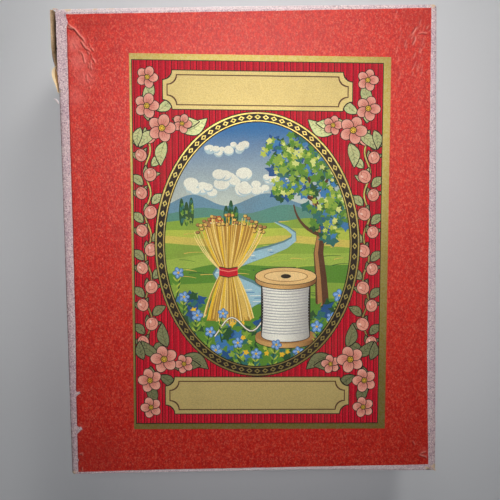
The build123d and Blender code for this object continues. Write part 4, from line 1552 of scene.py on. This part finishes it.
def flax_flowers(art):
    """Blue flax in flower across the foreground."""
    draw = random.Random(16)
    for x, y in (
        (-41, -28), (-34, -38), (-27, -47), (-20, -37), (-37, -50), (-12, -53), (-2, -59), (9, -54),
        (21, -58), (33, -51), (39, -39), (31, -44), (-24, -57), (-44, -15), (43, -27),
    ):
        root = (x + draw.uniform(-3, 3), y - draw.uniform(12, 18))
        art.lay(stroke(bow(*root, x, y, draw.uniform(-0.1, 0.1)), 0.9, 0.6), DARK_GREEN)
        for t in (0.3, 0.5, 0.7):
            px, py = root[0] + (x - root[0]) * t, root[1] + (y - root[1]) * t
            for side in (-1, 1):
                blade = leaf(px, py, 3.8, 0.9, pi / 2 + side * 0.7, 0.0, 0.0, 4)
                art.lay(blade, draw.choice((LIME, FIELD_GREEN)))
        start, size = draw.uniform(0, tau), draw.uniform(2.6, 3.5)
        for k in range(5):
            a = start + tau * k / 5
            middle = turned(0.52 * size, 0, a, x, y)
            art.lay(ellipse(*middle, 0.58 * size, 0.44 * size, 12, a), DEEP_BLUE)
            art.lay(ellipse(*middle, 0.5 * size, 0.36 * size, 12, a), FLAX_BLUE)
            art.lay(stroke([(x, y), turned(0.8 * size, 0, a, x, y)], 0.25), FLAX_VEIN)
        art.lay(ellipse(x, y, 0.7, None, 8), YELLOW)


def label_art():
    """The whole print, from the gold border up."""
    art = Print()
    half_x, half_y = LABEL_SIZE[0] / 2, LABEL_SIZE[1] / 2
    art.lay(rectangle(-half_x, -half_y, half_x, half_y), GOLD)
    x_from, x_to = FRAME_X - FRAME_HALF_X, FRAME_X + FRAME_HALF_X
    y_from, y_to = FRAME_Y - FRAME_HALF_Y, FRAME_Y + FRAME_HALF_Y
    art.lay(rectangle(x_from - 0.5, y_from - 0.5, x_to + 0.5, y_to + 0.5), BLACK)
    art.window = art.lay(rectangle(x_from, y_from, x_to, y_to), CRIMSON)
    pinstripes(art)
    garland(art)
    plaque(art, PLAQUE_Y)
    plaque(art, -PLAQUE_Y)
    ring(art)
    art.window = art.lay(medallion(-0.4), faded(SKY_LOW, SKY_HIGH, 14, 62))
    clouds(art)
    land(art)
    tree(art)
    thicket(art)
    sheaf(art, -17, -14)
    reel(art, 14, -34)
    flax_flowers(art)
    return art


def printed_face():
    """The print's upper face as a flat mesh, cut along its shapes. Each face's
    material index stands for its ink, and inks holds them in that order."""
    art = label_art()
    grid = [Vector((FRAME_X + 4 * i, FRAME_Y + 4 * j)) for i in range(-12, 13) for j in range(-4, 17)]
    flat, _, triangles, _, _, origins = delaunay_2d_cdt(art.points + grid, [], art.faces, 1, 1e-4, True)
    work = bmesh.new()
    corners = [work.verts.new((point[0], point[1], 0)) for point in flat]
    inks, numbers = [], {}
    for triangle, covering in zip(triangles, origins):
        shape = art.owner(covering)
        if shape is None:
            continue
        ink = art.inks[shape]
        if ink not in numbers:
            numbers[ink] = len(inks)
            inks.append(ink)
        face = work.faces.new([corners[i] for i in triangle])
        face.material_index = numbers[ink]
    bmesh.ops.delete(work, geom=[v for v in work.verts if not v.link_faces], context="VERTS")

    def even(face):
        return not callable(inks[face.material_index])
    edges = [edge for edge in work.edges if all(even(face) for face in edge.link_faces)]
    inner = [vert for vert in work.verts if not vert.is_boundary]
    verts = [vert for vert in inner if all(even(face) for face in vert.link_faces)]
    bmesh.ops.dissolve_limit(work, angle_limit=radians(2), verts=verts, edges=edges, delimit={"MATERIAL"})
    bmesh.ops.triangulate(work, faces=work.faces)
    return work, inks


def printed_label():
    """The label as one thin closed sheet in millimetres, with an ink for each corner."""
    work, inks = printed_face()
    work.verts.index_update()
    flat = np.array([tuple(vert.co) for vert in work.verts])[:, :2]
    faces = [[vert.index for vert in face.verts] for face in work.faces]
    colours = []
    for face, corners in zip(work.faces, faces):
        ink = inks[face.material_index]
        colours += [ink(*flat[i]) if callable(ink) else ink for i in corners]
    rim = np.array([vert.index for vert in work.verts if vert.is_boundary])
    work.free()
    half_x, half_y = LABEL_SIZE[0] / 2, LABEL_SIZE[1] / 2
    rim = rim[np.argsort(np.arctan2(flat[rim, 1] / half_y, flat[rim, 0] / half_x))]
    below = len(flat) + np.arange(len(rim))
    for k in range(len(rim)):
        m = (k + 1) % len(rim)
        faces.append([rim[k], rim[m], below[m], below[k]])
    faces.append(below[::-1])
    colours += [PAPER_EDGE] * (5 * len(rim))
    points = np.concatenate([
        np.column_stack([flat, np.full(len(flat), LABEL_HIGH[2])]),
        np.column_stack([flat[rim], np.full(len(rim), LABEL_LOW[2] + 0.02)]),
    ])
    u, v = points[:, :1] / LABEL_SIZE[0] + 0.5, points[:, 1:2] / LABEL_SIZE[1] + 0.5
    front_left, front_right, back_right, back_left = np.array(LABEL_CORNERS)
    front = front_left + (front_right - front_left) * u
    back = back_left + (back_right - back_left) * u
    points[:, :2] = front + (back - front) * v
    return points, [tuple(int(i) for i in face) for face in faces], np.array(colours)


# The pieces

def build_label():
    points, faces, inks = printed_label()
    mesh = bpy.data.meshes.new("label_print")
    mesh.from_pydata((points * MM).tolist(), [], faces)
    colour = np.concatenate([inks[:, :3], np.ones((len(inks), 1))], axis=1)
    layer = mesh.attributes.new("ink", "FLOAT_COLOR", "CORNER")
    layer.data.foreach_set("color", colour.astype(np.float32).ravel())
    layer = mesh.attributes.new("metal", "FLOAT", "CORNER")
    layer.data.foreach_set("value", inks[:, 3].astype(np.float32))
    mesh.validate()
    mesh.materials.append(INK)
    label = bpy.data.objects.new("label_print", mesh)
    bpy.context.collection.objects.link(label)
    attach(label, "lid")
    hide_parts("lid_label")


def build_pieces():
    points, faces, fields = lid_strip()
    strip = make_piece("lid_speckled_strip", points, faces, GRANITE, "lid", fields, 50)
    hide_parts("lid_side_strip")
    strip_overlap("lid_strip_overlap", -99.5, -113.0)
    points, faces, wear = base_strip()
    fields = {"wear": wear}
    strip = make_piece("base_speckled_strip", points, faces, GRANITE, "base", fields, 50)
    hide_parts("base_side_strip")
    points, faces, fields = sprung_wall()
    wall = make_piece("lid_sprung_wall", points, faces, STRAW, "lid", fields, 40)
    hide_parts("lid_left_wall")
    points, faces, fields = red_sheet()
    sheet = make_piece("lid_red_sheet", points, faces, RED, "lid", fields, 60)
    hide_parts("lid_top_sheet")
    build_label()
    torn_curl("lid_torn_curl")
    top = FLANGE_TOP
    route = [(-102.9, 78.5, 0.3), (-102.3, 78.5, 0.5), (-101.6, 78.0, 0.6), (-101.0, 77.1, 0.5),
             (-100.5, 75.9, 0.1)]
    fibre("lid_loose_fibre", [(x, y, top + lift) for x, y, lift in route], 0.75)
    scrap("lid_flake_upper", (-94.2, -79.4, SHEET_HIGH[2]), (-1.8, -0.6), 1.4, 0.3, 141)
    scrap("lid_flake_lower", (-93.9, -99.0, SHEET_HIGH[2]), (-1.9, -0.9), 2.0, 0.35, 142, wear=0.35)
    scrap("lid_torn_corner_right", (96.4, -124.5, top + 0.02), (3.6, -1.9), 1.8, 0.25, 143, wear=1.0)
    scrap("lid_torn_corner_left", (-97.4, -122.6, top), (-1.6, -1.6), 1.8, 0.15, 144, wear=1.0)
    scrap("lid_torn_corner_back", (96.2, 124.5, top - 0.1), (2.2, -1.4), 1.6, 0.2, 145, wear=1.0)
    scrap("lid_torn_corner_sprung", (-99.2, 124.3, top), (-2.6, 0.9), 1.4, 0.2, 146, wear=1.0)


def dress_cad_pieces():
    """Materials of the CAD pieces that stay."""
    boards = ("_board", "_wall")
    for name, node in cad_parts.items():
        material = GRANITE
        if name.endswith(boards):
            material = STRAW
        elif name.endswith("_stays"):
            material = GUMMED
        elif name.endswith("_lining"):
            material = LINING
        node.data.materials.clear()
        node.data.materials.append(material)


# The room

def make_floor():
    mesh = bpy.data.meshes.new("floor")
    half = 3.0
    corners = [(-half, -half, 0), (half, -half, 0), (half, half, 0), (-half, half, 0)]
    mesh.from_pydata(corners, [], [(0, 1, 2, 3)])
    floor = bpy.data.objects.new("floor", mesh)
    bpy.context.collection.objects.link(floor)
    floor.location.z = -0.0002
    f = Finish("floor")
    colour = (0.60, 0.61, 0.63, 1)
    f.feed(f.shader.inputs["Base Color"], colour)
    f.feed(f.shader.inputs["Roughness"], 0.9)
    rays = f.add("ShaderNodeLightPath").outputs
    mirrored = f.math("MAXIMUM", rays["Is Glossy Ray"], rays["Is Transmission Ray"])
    seen = f.math("MAXIMUM", rays["Is Camera Ray"], mirrored)
    strength = f.times(seen, 0.06)
    glow = f.add("ShaderNodeEmission", {"Color": (0.86, 0.88, 0.92, 1), "Strength": strength})
    total = f.add("ShaderNodeAddShader")
    f.feed(total.inputs[0], f.shader.outputs[0])
    f.feed(total.inputs[1], glow.outputs[0])
    f.feed(f.tree.nodes["Material Output"].inputs["Surface"], total.outputs[0])
    mesh.materials.append(f.material)


def make_lamp(name, place, towards, size, energy, colour):
    lamp = bpy.data.lights.new(name, "AREA")
    lamp.shape = "RECTANGLE"
    lamp.size, lamp.size_y = size
    lamp.energy = energy
    lamp.color = colour
    light = bpy.data.objects.new(name, lamp)
    bpy.context.collection.objects.link(light)
    light.location = place
    light.rotation_euler = (Vector(towards) - light.location).to_track_quat("-Z", "Y").to_euler()
    light.visible_camera = False


def make_lights():
    lid_top = FLANGE_TOP * MM
    middle = (0, 0, lid_top / 2)
    key_white, warm, cool = (1.0, 0.985, 0.96), (1.0, 0.98, 0.95), (0.97, 0.98, 1.0)
    # Name, place, what it shines at, size, power and colour
    lamps = (
        ("key_light", (0.0, 0.155, lid_top + 0.6), (0.0, 0.06, lid_top), (0.12, 0.12), 0.148, key_white),
        ("side_light", (0.22, 0.60, lid_top + 0.40), (0, 0.05, lid_top), (0.20, 0.20), 2.1, warm),
        ("back_light", (0.0, 0.30, lid_top + 0.30), (0, 0.10, lid_top), (0.12, 0.12), 0.22, warm),
        ("front_fill", (-0.40, -0.85, 0.30), middle, (0.5, 0.2), 1.5, cool),
        ("right_fill", (0.90, -0.25, 0.30), middle, (0.5, 0.2), 0.9, cool),
    )
    for lamp in lamps:
        make_lamp(*lamp)
    bpy.data.lights["key_light"].spread = radians(42)
    world = bpy.data.worlds.new("room")
    world.use_nodes = True
    background = world.node_tree.nodes["Background"].inputs
    background["Color"].default_value = (0.92, 0.95, 1.0, 1)
    background["Strength"].default_value = 0.06
    bpy.context.scene.world = world


def make_camera():
    data = bpy.data.cameras.new("camera")
    data.sensor_fit = "HORIZONTAL"
    data.angle = radians(45)
    data.clip_start = 0.01
    camera = bpy.data.objects.new("camera", data)
    bpy.context.collection.objects.link(camera)
    camera.location = (-0.00314, 0.0163, 0.3788)
    camera.rotation_euler = (radians(-3.428), radians(-0.534), radians(-0.894))
    bpy.context.scene.camera = camera


dress_cad_pieces()
build_pieces()
make_floor()
make_lights()
make_camera()
bpy.context.scene.view_settings.view_transform = "Standard"
